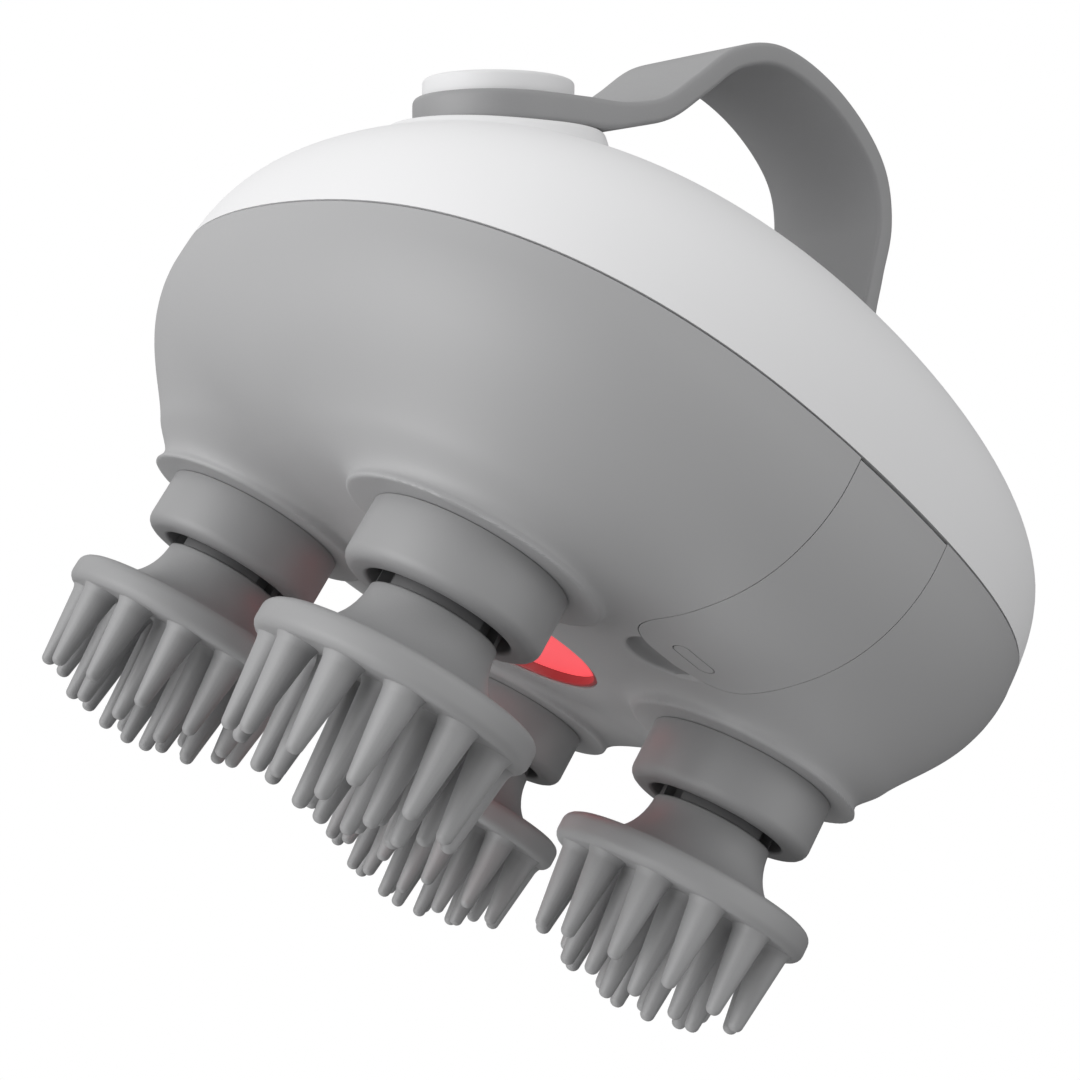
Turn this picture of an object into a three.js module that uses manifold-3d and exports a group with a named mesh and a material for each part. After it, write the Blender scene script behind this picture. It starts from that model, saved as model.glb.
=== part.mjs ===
// Electric scalp massager: a squircle dome over a four-legged bowl, four turning massage heads,
// a finger strap over the dome with a push button at its foot, a hinged cover over the charging
// socket, and the gear train that turns the heads. Millimetres, +Z up, fingertips on z = 0.
import * as THREE from 'three';
import { mergeVertices } from 'three/addons/utils/BufferGeometryUtils.js';
import Module from 'manifold-3d';

const wasm = await Module();
wasm.setup();

// Body outline
const bodyRadius = 62.2;        // mean radius at the widest level
const squareness = 0.0389;      // how far the plan bulges towards the four heads
const widestHeight = 59.05;
const domeRise = 34.2;
const domePlanPower = 2.2;
const domeRisePower = 2.86;
const bowlDrop = 21.65;
const bowlPlanPower = 5.08;
const bowlDropPower = 1.9;
const seamRise = 3.15;          // from the widest level up to the seam
const seamHeight = widestHeight + seamRise;
const seamGap = 0.35;
const wall = 2.2;
const lipInset = 3.8;           // the dome's lip stands inside the bowl's rim
const lipThickness = 1.3;
const lipDepth = 4.5;
const rootSink = 0.5;           // how deep ribs, posts and fingers start in what they grow from
const fitGap = 0.3;             // between pieces that seat on each other

// Legs
const headSpacing = 26.65;      // x and y of each head axis
const legRadius = 10;
const legFlare = 3.3;
const flareLength = 2.6;
const legBlend = 20;            // how softly the legs run into the bowl's side
const innerBlend = 8;           // and into its middle
const innerBlendRadius = 10;
const legBlendRadius = 51.4;
const lensSwell = 0.9;          // the bowl's middle hangs this far below its floor
const swellInner = 16;          // and rises to the floor between these radii
const swellOuter = 28;
const bossDrop = 23.75;         // from the widest level down to the flat faces under the legs
const bossHeight = widestHeight - bossDrop;
const bossFloor = 2.4;
const legSpare = 6;             // the formula's legs run on below their cut faces

// Collars and bearings
const collarRadius = 12.8;
const collarDepth = 8;
const collarLip = 1.5;
const collarBore = 9.6;
const spigotRadius = 10.8;
const webRise = 0.7;            // the collar's web starts this far inside the leg
const webThickness = 1.9;
const bushingRadius = 5.6;
const bushingFlange = 7;
const flangeHeight = 0.8;
const spindleRadius = 3;
const spindleShoulder = 5;
const shoulderHeight = 1.2;
const spindleEnd = 0.7;         // above the gear plate
const runningGap = 0.15;
const sealGap = 0.5;
const sealThickness = 1.5;

// Massage heads
const neckRadius = 8.28;
const neckDrop = 8.9;           // from the legs' faces down to the neck's top
const neckTop = bossHeight - neckDrop;
const discRadius = 17.7;
const discDrop = 16.25;
const discTop = bossHeight - discDrop;
const discThickness = 3.9;
const discEdge = 1.1;
const discShelf = 3.7;          // flat ring outside the neck's flare
const hubRadius = 6;
const hubCrownRadius = 7.9;
const hubCrownHeight = 6;
const hubSlotCount = 3;
const hubSlotTurn = 52;
const hubSlotWidth = 3.9;
const hubSlotDepth = 1.7;
const spindleSeat = 1.2;        // the spindle ends this far above the hub's floor
const fingerBase = 2.45;
const fingerTip = 0.95;
const fingerNose = 0.7;         // height of the rounded tip
const tipFlat = 0.7;            // radius of the flat that the longest fingers stand on
const fingerRings = [
  { count: 12, radius: 14.1, tip: 3.8, turn: 2 },
  { count: 9, radius: 9.0, tip: 1.4, turn: 30 },
  { count: 3, radius: 3.5, tip: 0, turn: 60 },
];

// Gear train
const driveTeeth = 32;
const headTeeth = 20;
const pinionTeeth = 12;
const gearRise = 9.9;           // gears above the legs' faces
const gearBottom = bossHeight + gearRise;
const gearWidth = 5;
const gearGap = 0.6;            // below the gear plate
const toothRoot = 1.1;          // tooth sizes in modules
const toothTip = 0.8;
const rootShare = 0.33;         // half widths in tooth pitches
const tipShare = 0.125;
const axleShoulderHeight = 1.3;
const plateThickness = 2.4;
const plateInset = 10.2;        // gear plate's edge inside the body's outline
const plateRadius = bodyRadius - plateInset;

// Motor, battery and boards
const motorRadius = 12.2;
const motorHeight = 24;
const motorEdge = 2;
const motorShaftRadius = 1.5;
const shaftReach = 5;           // into the motor
const shaftEnd = 0.5;           // below the pinion
const batteryRadius = 9.1;
const batteryLength = 64;
const batteryY = -25;
const saddleFloor = 1.2;
const saddleWidth = 4;
const saddleMargin = 1.5;       // each side of the battery
const saddlePlace = 21;         // from the battery's middle
const boardThickness = 1.2;
const mainBoardSize = [28, 26];
const mainBoardCentre = [31, 2];
const standoffHeight = 3;
const standoffRadius = 2;
const standoffInset = 3;

// Screw posts for the gear plate
const postRadius = 3.4;
const screwRadius = 1.4;
const screwHeadRadius = 2.6;
const screwHeadHeight = 1.7;
const screwLength = 9;
const postInset = 7;            // posts on the X axis, inside the plate's edge
const postSpread = 14;          // the other four, beside the Y axis
const postX = plateRadius - postInset;
const postY = plateRadius - postInset + 0.5;
const postPlaces = [
  [postX, 0],
  [-postX, 0],
  [postSpread, postY],
  [-postSpread, postY],
  [postSpread, -postY],
  [-postSpread, -postY],
];

// Lens and lamp board
const lensRadius = 15.2;
const lensRecess = 1.6;         // lens face above its opening's rim
const lensFlange = 1.9;
const lensFlangeHeight = 1.1;
const lensEdgeWidth = 1.2;
const lensEdgeHeight = 0.6;
const lampCount = 6;
const lampCircle = 9;
const lampSize = [2.8, 2.8, 1.4];
const lampSink = 0.1;
const lampBoardGap = 0.4;       // above the lens and round it
const lampBoardMargin = 1.7;    // past the lens flange
const wireHole = 4;
const ribThickness = 1.6;

// Port cover, hinged just under the seam
const coverHalfWidth = 8.9;
const coverThickness = 1.7;
const coverReach = 28.6;        // from the body's outline to the cover's inner edge
const coverInnerEnd = coverReach - bodyRadius;
const coverCorner = 7.5;
const coverDrop = 0.3;          // cover's top edge below the bowl's rim
const hingeDrop = 1.9;          // hinge axis below the bowl's rim
const hingeDepth = 1.2;
const hingeEdge = 0.2;          // from the barrel to the bowl's outside
const hingeBarrel = 1;
const hingePintle = 0.6;
const pintleReach = 1.1;
const barrelGap = 1.4;          // room for the cover's top edge as it swings
const pintleGap = 0.2;
const padDepth = 4.8;
const padMargin = 2;
const padInnerMargin = 7.5;
const nickSize = [4.9, 5.6, 2.5]; // finger recess beside the cover's inner edge
const nickOffset = 0.8;
const socketInset = 5.6;        // socket past the cover's inner edge
const socketY = coverInnerEnd - socketInset;
const socketSize = [9, 3.3, 7.4];
const socketDrop = 3.4;         // socket's mouth below the gears
const socketWall = 0.35;
const socketFloor = 1.2;
const tongueThickness = 0.7;
const tongueInset = 1.2;
const pillarSize = [2, 5];
const pillarGap = 1.1;          // each side of the socket
const socketBoardSize = [16, 9];

// Strap and the two caps that hold its ends
const capTilt = 35;
const capX = 39;
const capLift = 32.75;          // pedestal faces above the widest level
const capZ = widestHeight + capLift;
const pedestalRadius = 13.9;
const pedestalEdge = 0.3;
const pedestalShoulder = 4.5;
const shoulderSpread = 1.4;
const pedestalFoot = 17;
const pedestalDepth = 9;
const strapHalfWidth = 11.4;
const strapThickness = 3.1;
const strapFlat = 6.8;          // the strap runs straight this far from a cap's axis
const strapEndThickness = 3.2;
const strapFloor = 1.3;         // thickness left under the cap's counterbore
const capRadius = 10.1;
const capRise = 2.5;
const capEdge = 0.8;
const capGap = 0.2;             // round the cap in its counterbore
const sleeveRadius = 8.2;
const sleeveWall = 1.8;
const sleeveDepth = 4.2;
const flangeInset = 0.3;
const flangeGap = 0.1;
const flangeThickness = 0.7;
const buttonTravel = 0.7;
const catchWidth = 1;           // the button's foot catches under the sleeve
const catchHeight = 0.9;
const plungerRadius = 1.5;
const chamberRadius = 9.6;
const chamberTop = 3.2;
const switchDepth = 8.6;
const switchBoardMargin = 1;    // past the chamber
const tubeWall = 1.8;
const tubeReach = 2.2;          // below the switch board's face
const switchBody = [6, 6, 1.5];
const switchSink = 0.3;
const nibRadius = 1.7;
const nibHeight = 1.7;
const plungerGap = 0.1;
// Half of the strap's line: x, and height above the widest level
const strapPoints = [
  [-29.2, 41.85],
  [-24.4, 46.85],
  [-21.5, 53.55],
  [-18.5, 60.75],
  [-12.4, 66.35],
  [0, 68.75],
];

// Levels and radii that follow from the sizes above
const bowlRim = seamHeight - seamGap / 2;
const domeRim = seamHeight + seamGap / 2;
const bowlBottom = widestHeight - bowlDrop;
const lensFloor = bowlBottom - lensSwell;
const collarTop = bossHeight - fitGap;
const collarBottom = collarTop - collarDepth + fitGap;
const webBottom = bossHeight + webRise;
const webTop = webBottom + webThickness;
const bushingTop = webTop + fitGap + flangeHeight;
const gearTop = gearBottom + gearWidth;
const plateBottom = gearTop + gearGap;
const plateTop = plateBottom + plateThickness;
const spindleTop = plateTop + spindleEnd;
const gearModule = (2 * Math.SQRT2 * headSpacing) / (driveTeeth + headTeeth);
const pinionY = (gearModule * (driveTeeth + pinionTeeth)) / 2;
const discBottom = discTop - discThickness;
const hubTop = neckTop + hubCrownHeight;
const hubBottom = discTop - fitGap;
const batteryZ = plateTop + fitGap + saddleFloor + batteryRadius;
const motorBottom = plateTop + fitGap;
const lensBottom = lensFloor + lensRecess;
const lensSeat = lensFloor + wall + fitGap;
const lensTop = lensSeat + lensFlangeHeight;
const lensRim = lensRadius + lensFlange;
const lampBoardBottom = lensTop + lampBoardGap;
const axleBottom = gearBottom - fitGap - axleShoulderHeight;
const socketBottom = gearBottom - socketDrop;
const socketTop = socketBottom + socketSize[2];
const boardRadius = chamberRadius + switchBoardMargin;
const capTop = fitGap + strapEndThickness + capRise;
const flangeBottom = fitGap + strapFloor + flangeGap;
const flangeTop = flangeBottom + flangeThickness;
const buttonBottom = flangeTop + buttonTravel + runningGap;
const stemRadius = sleeveRadius - sleeveWall - fitGap;
const footTop = -sleeveDepth - fitGap;
const footBottom = footTop - catchHeight;
const switchTop = nibHeight - switchDepth;
const plungerTip = switchTop + buttonTravel + plungerGap;

const deg = Math.PI / 180;

function material(color, roughness, metalness = 0) {
  return new THREE.MeshStandardMaterial({ color, roughness, metalness });
}
const looks = {
  white: material(0xe9e9e8, 0.42),
  grey: material(0x9a9a9b, 0.48),
  silicone: material(0x8f8f90, 0.62),
  lens: material(0xff5a60, 0.3),
  acetal: material(0xd8d4c4, 0.45),
  steel: material(0xb9bcc0, 0.3, 0.9),
  bronze: material(0xa9793f, 0.4, 0.8),
  board: material(0x1f6b43, 0.5),
  cell: material(0x3a6fa8, 0.4),
  seal: material(0x2b2b2c, 0.7),
};

// Closed solids from three.js geometries
function solid(geometry) {
  const bare = geometry.clone();
  for (const name of Object.keys(bare.attributes)) {
    if (name !== 'position') bare.deleteAttribute(name);
  }
  const merged = mergeVertices(bare, 1e-4);
  const position = merged.attributes.position;
  const index = merged.index.array;
  const triangles = [];
  let volume = 0;
  const a = new THREE.Vector3();
  const b = new THREE.Vector3();
  const c = new THREE.Vector3();
  for (let i = 0; i < index.length; i += 3) {
    const [p, q, r] = [index[i], index[i + 1], index[i + 2]];
    if (p === q || q === r || r === p) continue;
    triangles.push(p, q, r);
    a.fromBufferAttribute(position, p);
    b.fromBufferAttribute(position, q);
    c.fromBufferAttribute(position, r);
    volume += a.dot(b.cross(c));
  }
  if (volume < 0) {
    for (let i = 0; i < triangles.length; i += 3) {
      [triangles[i], triangles[i + 1]] = [triangles[i + 1], triangles[i]];
    }
  }
  const mesh = new wasm.Mesh({
    numProp: 3,
    vertProperties: new Float32Array(position.array),
    triVerts: new Uint32Array(triangles),
  });
  return new wasm.Manifold(mesh);
}

function geometryOf(body) {
  const data = body.getMesh();
  const geometry = new THREE.BufferGeometry();
  geometry.setAttribute('position', new THREE.Float32BufferAttribute(data.vertProperties, 3));
  geometry.setIndex(new THREE.Uint32BufferAttribute(data.triVerts, 1));
  geometry.computeVertexNormals();
  return geometry;
}

// A solid turned about +Z from a list of [radius, height] points
function turned(points, segments) {
  const profile = points.map(([r, h]) => new THREE.Vector2(r, h));
  const geometry = new THREE.LatheGeometry(profile, segments);
  geometry.rotateX(Math.PI / 2);
  return geometry;
}

// A turned ring: the profile closes on itself
function ring(points, segments) {
  return turned([...points, points[0]], segments);
}

// A cylinder from one height to another
function rod(radius, low, high, segments, x = 0, y = 0) {
  const geometry = turned([[0, low], [radius, low], [radius, high], [0, high]], segments);
  geometry.translate(x, y, 0);
  return geometry;
}

function block(size, centre) {
  const geometry = new THREE.BoxGeometry(...size);
  geometry.translate(...centre);
  return geometry;
}

// Body surface as a formula: negative inside, about the distance in millimetres near the skin
function softMin(a, b, width) {
  const h = Math.min(1, Math.max(0, 0.5 + (0.5 * (b - a)) / width));
  return b + (a - b) * h - width * h * (1 - h);
}

// A curve a^p + b^q = 1 as a distance: its value over the length of its gradient
function curveDistance(a, aScale, aPower, b, bScale, bPower) {
  const value = a ** aPower + b ** bPower - 1;
  const slope = Math.hypot((aPower * a ** (aPower - 1)) / aScale, (bPower * b ** (bPower - 1)) / bScale);
  return value / (slope + 1e-4);
}

function bodyField(x, y, z) {
  const radius = Math.hypot(x, y);
  const share = Math.min(1, radius / bodyRadius);
  const across = bodyRadius * (1 - squareness * share * share * Math.cos(4 * Math.atan2(y, x)));
  if (z > widestHeight) {
    const rise = (z - widestHeight) / domeRise;
    return curveDistance(radius / across, across, domePlanPower, rise, domeRise, domeRisePower);
  }
  const swell = lensSwell * (1 - THREE.MathUtils.smoothstep(radius, swellInner, swellOuter));
  const drop = (widestHeight - z) / (bowlDrop + swell);
  const bowl = curveDistance(radius / across, across, bowlPlanPower, drop, bowlDrop, bowlDropPower);
  const level = Math.max(z, bossHeight - 1);
  const column = legRadius + legFlare * Math.exp((bossHeight - level) / flareLength);
  const leg = Math.hypot(Math.abs(x) - headSpacing, Math.abs(y) - headSpacing) - column;
  const side = THREE.MathUtils.smoothstep(radius, innerBlendRadius, legBlendRadius);
  const blended = softMin(bowl, leg, innerBlend + (legBlend - innerBlend) * side);
  return Math.max(blended, bossHeight - legSpare - z);
}

// Radius of the body's plan at a level near the seam
function planRadius(angle, z) {
  const power = z > widestHeight ? domePlanPower : bowlPlanPower;
  const share = z > widestHeight
    ? ((z - widestHeight) / domeRise) ** domeRisePower
    : ((widestHeight - z) / bowlDrop) ** bowlDropPower;
  const size = (1 - share) ** (1 / power);
  return bodyRadius * size * (1 - squareness * size * size * Math.cos(4 * angle));
}

// The body's skin, inset by some depth: a sphere whose points move out along their own
// directions until they meet the surface. Its rows gather in the half that is wanted, and
// a small spare share of them covers the other half, which is cut away afterwards.
function bodySkin(inset, around, rows, lowerHalf) {
  const centre = widestHeight + 1;
  const pastLevel = 8;
  const edge = lowerHalf ? 90 - pastLevel : 90 + pastLevel;
  const geometry = new THREE.SphereGeometry(1, around, rows);
  geometry.rotateX(Math.PI / 2);
  const position = geometry.attributes.position;
  const way = new THREE.Vector3();
  const spare = 0.16;
  const firstStep = 12;
  for (let i = 0; i < position.count; i += 1) {
    way.fromBufferAttribute(position, i).normalize();
    const polar = Math.acos(THREE.MathUtils.clamp(way.z, -1, 1)) / Math.PI;
    const azimuth = Math.atan2(way.y, way.x);
    let tilt;
    if (lowerHalf) {
      tilt = polar < spare ? (polar / spare) * edge : edge + ((polar - spare) / (1 - spare)) * (180 - edge);
    } else {
      tilt = polar > 1 - spare ? 180 - ((1 - polar) / spare) * (180 - edge) : (polar / (1 - spare)) * edge;
    }
    const flat = Math.sin(tilt * deg);
    way.set(flat * Math.cos(azimuth), flat * Math.sin(azimuth), Math.cos(tilt * deg));
    const at = (t) => bodyField(way.x * t, way.y * t, centre + way.z * t) + inset;
    let low = firstStep;
    while (at(low + 0.5) < 0) low += 0.5;
    let high = low + 0.5;
    for (let n = 0; n < 24; n += 1) {
      const middle = (low + high) / 2;
      if (at(middle) < 0) low = middle;
      else high = middle;
    }
    position.setXYZ(i, way.x * low, way.y * low, centre + way.z * low);
  }
  return solid(geometry);
}

// A band that follows the plan of the body between two levels
function planBand(outerInset, innerInset, low, high, around) {
  const corners = [[outerInset, low], [outerInset, high], [innerInset, high], [innerInset, low]];
  const geometry = ring(corners.map(([inset, z]) => [bodyRadius - inset, z]), around);
  const position = geometry.attributes.position;
  for (let i = 0; i < position.count; i += 1) {
    const [x, y, z] = [position.getX(i), position.getY(i), position.getZ(i)];
    const angle = Math.atan2(y, x);
    const radius = planRadius(angle, z) - (bodyRadius - Math.hypot(x, y));
    position.setXYZ(i, radius * Math.cos(angle), radius * Math.sin(angle), z);
  }
  return solid(geometry);
}

const big = 300;
const above = (z) => solid(block([big, big, big], [0, 0, z + big / 2]));
const below = (z) => solid(block([big, big, big], [0, 0, z - big / 2]));

const headPlaces = [
  [-headSpacing, headSpacing],
  [-headSpacing, -headSpacing],
  [headSpacing, headSpacing],
  [headSpacing, -headSpacing],
];

const massager = new THREE.Group();
function addPart(name, shape, look, x = 0, y = 0, z = 0) {
  const geometry = shape.isBufferGeometry ? geometryOf(solid(shape)) : geometryOf(shape);
  const mesh = new THREE.Mesh(geometry, look);
  mesh.name = name;
  mesh.position.set(x, y, z);
  massager.add(mesh);
  return mesh;
}

// Skins shared by the shells, the posts and the port cover
const lowerSkin = bodySkin(0, 36, 22, true);
const lowerCavity = bodySkin(wall, 20, 12, true);
const coverBack = bodySkin(coverThickness, 20, 14, true);
const pocketBack = bodySkin(coverThickness + fitGap, 20, 14, true);
const padBack = bodySkin(padDepth, 20, 12, true);

// Outline of the port cover seen from below, grown by some margin
function coverPrism(grow, top) {
  const half = coverHalfWidth + grow;
  const inner = coverInnerEnd + grow;
  const round = coverCorner + grow;
  const outline = new THREE.Shape();
  outline.moveTo(-half, -bodyRadius - 5);
  outline.lineTo(half, -bodyRadius - 5);
  outline.lineTo(half, inner - round);
  outline.absarc(half - round, inner - round, round, 0, Math.PI / 2, false);
  outline.lineTo(-half + round, inner);
  outline.absarc(-half + round, inner - round, round, Math.PI / 2, Math.PI, false);
  const floor = bossHeight - legSpare - 2;
  const geometry = new THREE.ExtrudeGeometry(outline, {
    depth: top - floor,
    bevelEnabled: false,
    curveSegments: 4,
  });
  geometry.translate(0, 0, floor);
  return solid(geometry);
}

const hingeZ = bowlRim - hingeDrop;
const hingeY = -(planRadius(-Math.PI / 2, hingeZ) - hingeDepth - hingeEdge);

// A rod along X, for the cover's hinge
function hingeRod(radius, halfLength) {
  const geometry = new THREE.CylinderGeometry(radius, radius, 2 * halfLength, 14);
  geometry.rotateZ(Math.PI / 2);
  geometry.translate(0, hingeY, hingeZ);
  return solid(geometry);
}

function bottomShell() {
  const padHalf = coverHalfWidth + padMargin;
  const padLength = bodyRadius + coverInnerEnd + padInnerMargin + 2;
  const padBox = solid(block(
    [2 * padHalf, padLength, bowlRim - bossHeight],
    [0, coverInnerEnd + padInnerMargin - padLength / 2, (bowlRim + bossHeight) / 2],
  ));
  const ribInner = lensRim + lampBoardGap;
  const ribOuter = ribInner + ribThickness;
  const ribFoot = lensFloor + wall - rootSink;
  const rib = solid(ring([
    [ribInner, ribFoot],
    [ribOuter, ribFoot],
    [ribOuter, lampBoardBottom - fitGap],
    [ribInner, lampBoardBottom - fitGap],
  ], 32));
  const pillarTop = socketTop - fitGap;
  const pillar = (x) => solid(block(
    [...pillarSize, pillarTop - bowlBottom],
    [x, socketY, (pillarTop + bowlBottom) / 2],
  )).intersect(coverBack);
  const pillarX = socketSize[0] / 2 + pillarGap + pillarSize[0] / 2;

  let shell = lowerSkin.subtract(lowerCavity);
  shell = shell.add(padBox.intersect(lowerSkin).subtract(padBack));
  for (const [x, y] of postPlaces) {
    shell = shell.add(solid(rod(postRadius, bossHeight + 1, plateBottom - fitGap, 16, x, y)).intersect(coverBack));
  }
  shell = shell.add(rib);
  shell = shell.add(pillar(pillarX)).add(pillar(-pillarX));
  // The legs' floors
  const floors = lowerSkin.subtract(above(bossHeight + bossFloor)).subtract(below(bossHeight));
  for (const [x, y] of headPlaces) {
    shell = shell.add(floors.intersect(solid(rod(legRadius + 2, bossHeight - 1, bossHeight + 9, 24, x, y))));
  }
  shell = shell.subtract(below(bossHeight)).subtract(above(bowlRim));
  for (const [x, y] of headPlaces) {
    shell = shell.subtract(solid(rod(spigotRadius + fitGap, bossHeight - 5, webTop + 1, 18, x, y)));
  }
  for (const [x, y] of postPlaces) {
    shell = shell.subtract(solid(rod(screwRadius + fitGap, plateTop - screwLength - 1, plateTop, 8, x, y)));
  }
  shell = shell.subtract(solid(rod(lensRadius + fitGap, bossHeight - 1, lensFloor + wall + 1, 32)));
  shell = shell.subtract(coverPrism(fitGap, bowlRim + 5).subtract(pocketBack));
  shell = shell.subtract(hingeRod(hingeBarrel + barrelGap, coverHalfWidth + fitGap));
  shell = shell.subtract(hingeRod(hingePintle + pintleGap, coverHalfWidth + pintleReach + fitGap));
  const [width, depth] = socketSize;
  shell = shell.subtract(solid(block(
    [width + 2 * fitGap, depth + 2 * fitGap, 30],
    [0, socketY, bossHeight + 10],
  )));
  const nick = new THREE.SphereGeometry(1, 14, 8);
  nick.scale(...nickSize);
  nick.translate(nickOffset, coverInnerEnd, bowlBottom + rootSink);
  return shell.subtract(solid(nick));
}

function portCover() {
  const plate = coverPrism(0, bowlRim - coverDrop).intersect(lowerSkin).subtract(coverBack);
  const barrel = hingeRod(hingeBarrel, coverHalfWidth);
  const pintles = hingeRod(hingePintle, coverHalfWidth + pintleReach);
  return plate.add(barrel).add(pintles);
}

addPart('bottom_shell', bottomShell(), looks.grey);
addPart('port_cover', portCover(), looks.grey);

// Cap frames: local +Z points out of the dome's shoulder, local origin on the pedestal's face
function capMatrix(side) {
  const matrix = new THREE.Matrix4().makeRotationY(side * capTilt * deg);
  matrix.setPosition(side * capX, 0, capZ);
  return matrix;
}
function onCap(geometry, side) {
  return solid(geometry.clone().applyMatrix4(capMatrix(side)));
}
function addCapPart(name, geometry, look, side) {
  const mesh = addPart(name, geometry, look, side * capX, 0, capZ);
  mesh.rotation.y = side * capTilt * deg;
}

function topShell() {
  let shell = bodySkin(0, 36, 13, false);
  const foot = [
    [0, 0],
    [pedestalRadius - pedestalEdge, 0],
    [pedestalRadius, -pedestalEdge],
    [pedestalRadius + shoulderSpread, -pedestalShoulder],
    [pedestalFoot, -pedestalDepth],
    [0, -pedestalDepth],
  ];
  const tubeRadius = boardRadius + tubeWall;
  const deep = 40;
  for (const side of [-1, 1]) shell = shell.add(onCap(turned(foot, 20), side));
  shell = shell.subtract(bodySkin(wall, 24, 9, false)).subtract(below(domeRim));
  const recess = switchDepth - fitGap;
  for (const side of [-1, 1]) {
    shell = shell.add(onCap(rod(tubeRadius, -switchDepth - tubeReach, rootSink - chamberTop, 16), side));
    shell = shell.subtract(onCap(rod(chamberRadius, -deep, -chamberTop, 16), side));
    shell = shell.subtract(onCap(rod(boardRadius + fitGap, -deep, -recess, 16), side));
    shell = shell.subtract(onCap(rod(sleeveRadius + fitGap, -deep, capTop, 16), side));
  }
  const shelf = 1.6;
  const lipInner = lipInset + lipThickness;
  let lip = planBand(lipInset, lipInner, domeRim - lipDepth, domeRim, 24);
  lip = lip.add(planBand(wall / 2, lipInner, domeRim - 0.01, domeRim + shelf, 24));
  const roomWidth = 2 * (coverHalfWidth + padMargin + fitGap);
  const coverRoom = block([roomWidth, bodyRadius / 2, 2 * lipDepth], [0, -bodyRadius, domeRim - lipDepth]);
  return shell.add(lip.subtract(solid(coverRoom)));
}
addPart('top_shell', topShell(), looks.white);

// Strap: a band bent over the dome, with a round end under each cap
function strapCentreLine() {
  const end = new THREE.Vector3(-capX, 0, capZ);
  const out = new THREE.Vector3(0, 0, 1).applyAxisAngle(new THREE.Vector3(0, 1, 0), -capTilt * deg);
  const along = new THREE.Vector3(1, 0, 0).applyAxisAngle(new THREE.Vector3(0, 1, 0), -capTilt * deg);
  end.addScaledVector(out, fitGap + strapEndThickness / 2);
  const half = [end, end.clone().addScaledVector(along, strapFlat)];
  for (const [x, z] of strapPoints) half.push(new THREE.Vector3(x, 0, widestHeight + z));
  const other = half.slice(0, -1).reverse().map((p) => new THREE.Vector3(-p.x, 0, p.z));
  return new THREE.CatmullRomCurve3([...half, ...other], false, 'centripetal');
}

function strap() {
  const line = strapCentreLine();
  const steps = 30;
  const upper = [];
  const lower = [];
  for (let i = 0; i <= steps; i += 1) {
    const point = line.getPointAt(i / steps);
    const tangent = line.getTangentAt(i / steps);
    const normal = new THREE.Vector2(-tangent.z, tangent.x).multiplyScalar(strapThickness / 2);
    upper.push(new THREE.Vector2(point.x + normal.x, point.z + normal.y));
    lower.push(new THREE.Vector2(point.x - normal.x, point.z - normal.y));
  }
  const outline = new THREE.Shape([...upper, ...lower.reverse()]);
  const band = new THREE.ExtrudeGeometry(outline, { depth: 2 * strapHalfWidth, bevelEnabled: false });
  band.translate(0, 0, -strapHalfWidth);
  band.rotateX(Math.PI / 2);
  let body = solid(band);
  const top = fitGap + strapEndThickness;
  for (const side of [-1, 1]) {
    body = body.add(onCap(rod(strapHalfWidth, fitGap, top, 24), side));
    body = body.subtract(onCap(rod(sleeveRadius + fitGap, -strapThickness, capTop, 16), side));
    body = body.subtract(onCap(rod(capRadius + capGap, fitGap + strapFloor, capTop, 20), side));
  }
  return body;
}
addPart('strap', strap(), looks.silicone);

// Left cap: a push button in a sleeve that also clamps the strap
addCapPart('strap_sleeve', ring([
  [sleeveRadius - sleeveWall, -sleeveDepth],
  [sleeveRadius, -sleeveDepth],
  [sleeveRadius, flangeBottom],
  [capRadius - flangeInset, flangeBottom],
  [capRadius - flangeInset, flangeTop],
  [sleeveRadius - sleeveWall, flangeTop],
], 20), looks.grey, -1);

addCapPart('power_button', turned([
  [0, plungerTip],
  [plungerRadius, plungerTip],
  [plungerRadius, footBottom],
  [stemRadius + catchWidth, footBottom],
  [stemRadius + catchWidth, footTop],
  [stemRadius, footTop],
  [stemRadius, buttonBottom],
  [capRadius, buttonBottom],
  [capRadius, capTop - capEdge],
  [capRadius - capEdge, capTop],
  [0, capTop],
], 28), looks.white, -1);

function switchBoard() {
  const board = rod(boardRadius, -switchDepth - boardThickness, -switchDepth, 24);
  const body = block(switchBody, [0, 0, switchBody[2] / 2 - switchDepth - switchSink]);
  const nib = rod(nibRadius, nibHeight / 2 - switchDepth, switchTop, 12);
  return solid(board).add(solid(body)).add(solid(nib));
}
addCapPart('switch_board', geometryOf(switchBoard()), looks.board, -1);

// Right cap: fixed, the same outside size as the button
addCapPart('strap_cap', turned([
  [0, -sleeveDepth],
  [sleeveRadius, -sleeveDepth],
  [sleeveRadius, flangeBottom],
  [capRadius, flangeBottom],
  [capRadius, capTop - capEdge],
  [capRadius - capEdge, capTop],
  [0, capTop],
], 28), looks.white, 1);

// Lens and lamp board under the middle of the bowl
addPart('lens', turned([
  [0, lensBottom],
  [lensRadius - lensEdgeWidth, lensBottom],
  [lensRadius, lensBottom + lensEdgeHeight],
  [lensRadius, lensSeat],
  [lensRim, lensSeat],
  [lensRim, lensTop],
  [0, lensTop],
], 32), looks.lens);

function lampBoard() {
  const top = lampBoardBottom + boardThickness;
  let board = solid(rod(lensRim + lampBoardMargin, lampBoardBottom, top, 24));
  board = board.subtract(solid(rod(wireHole, lampBoardBottom - 1, top + 1, 16)));
  for (let i = 0; i < lampCount; i += 1) {
    const angle = (i / lampCount) * 2 * Math.PI;
    const lamp = block(lampSize, [
      lampCircle * Math.cos(angle),
      lampCircle * Math.sin(angle),
      top + lampSize[2] / 2 - lampSink,
    ]);
    board = board.add(solid(lamp));
  }
  return board;
}
addPart('led_board', lampBoard(), looks.board);

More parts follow.
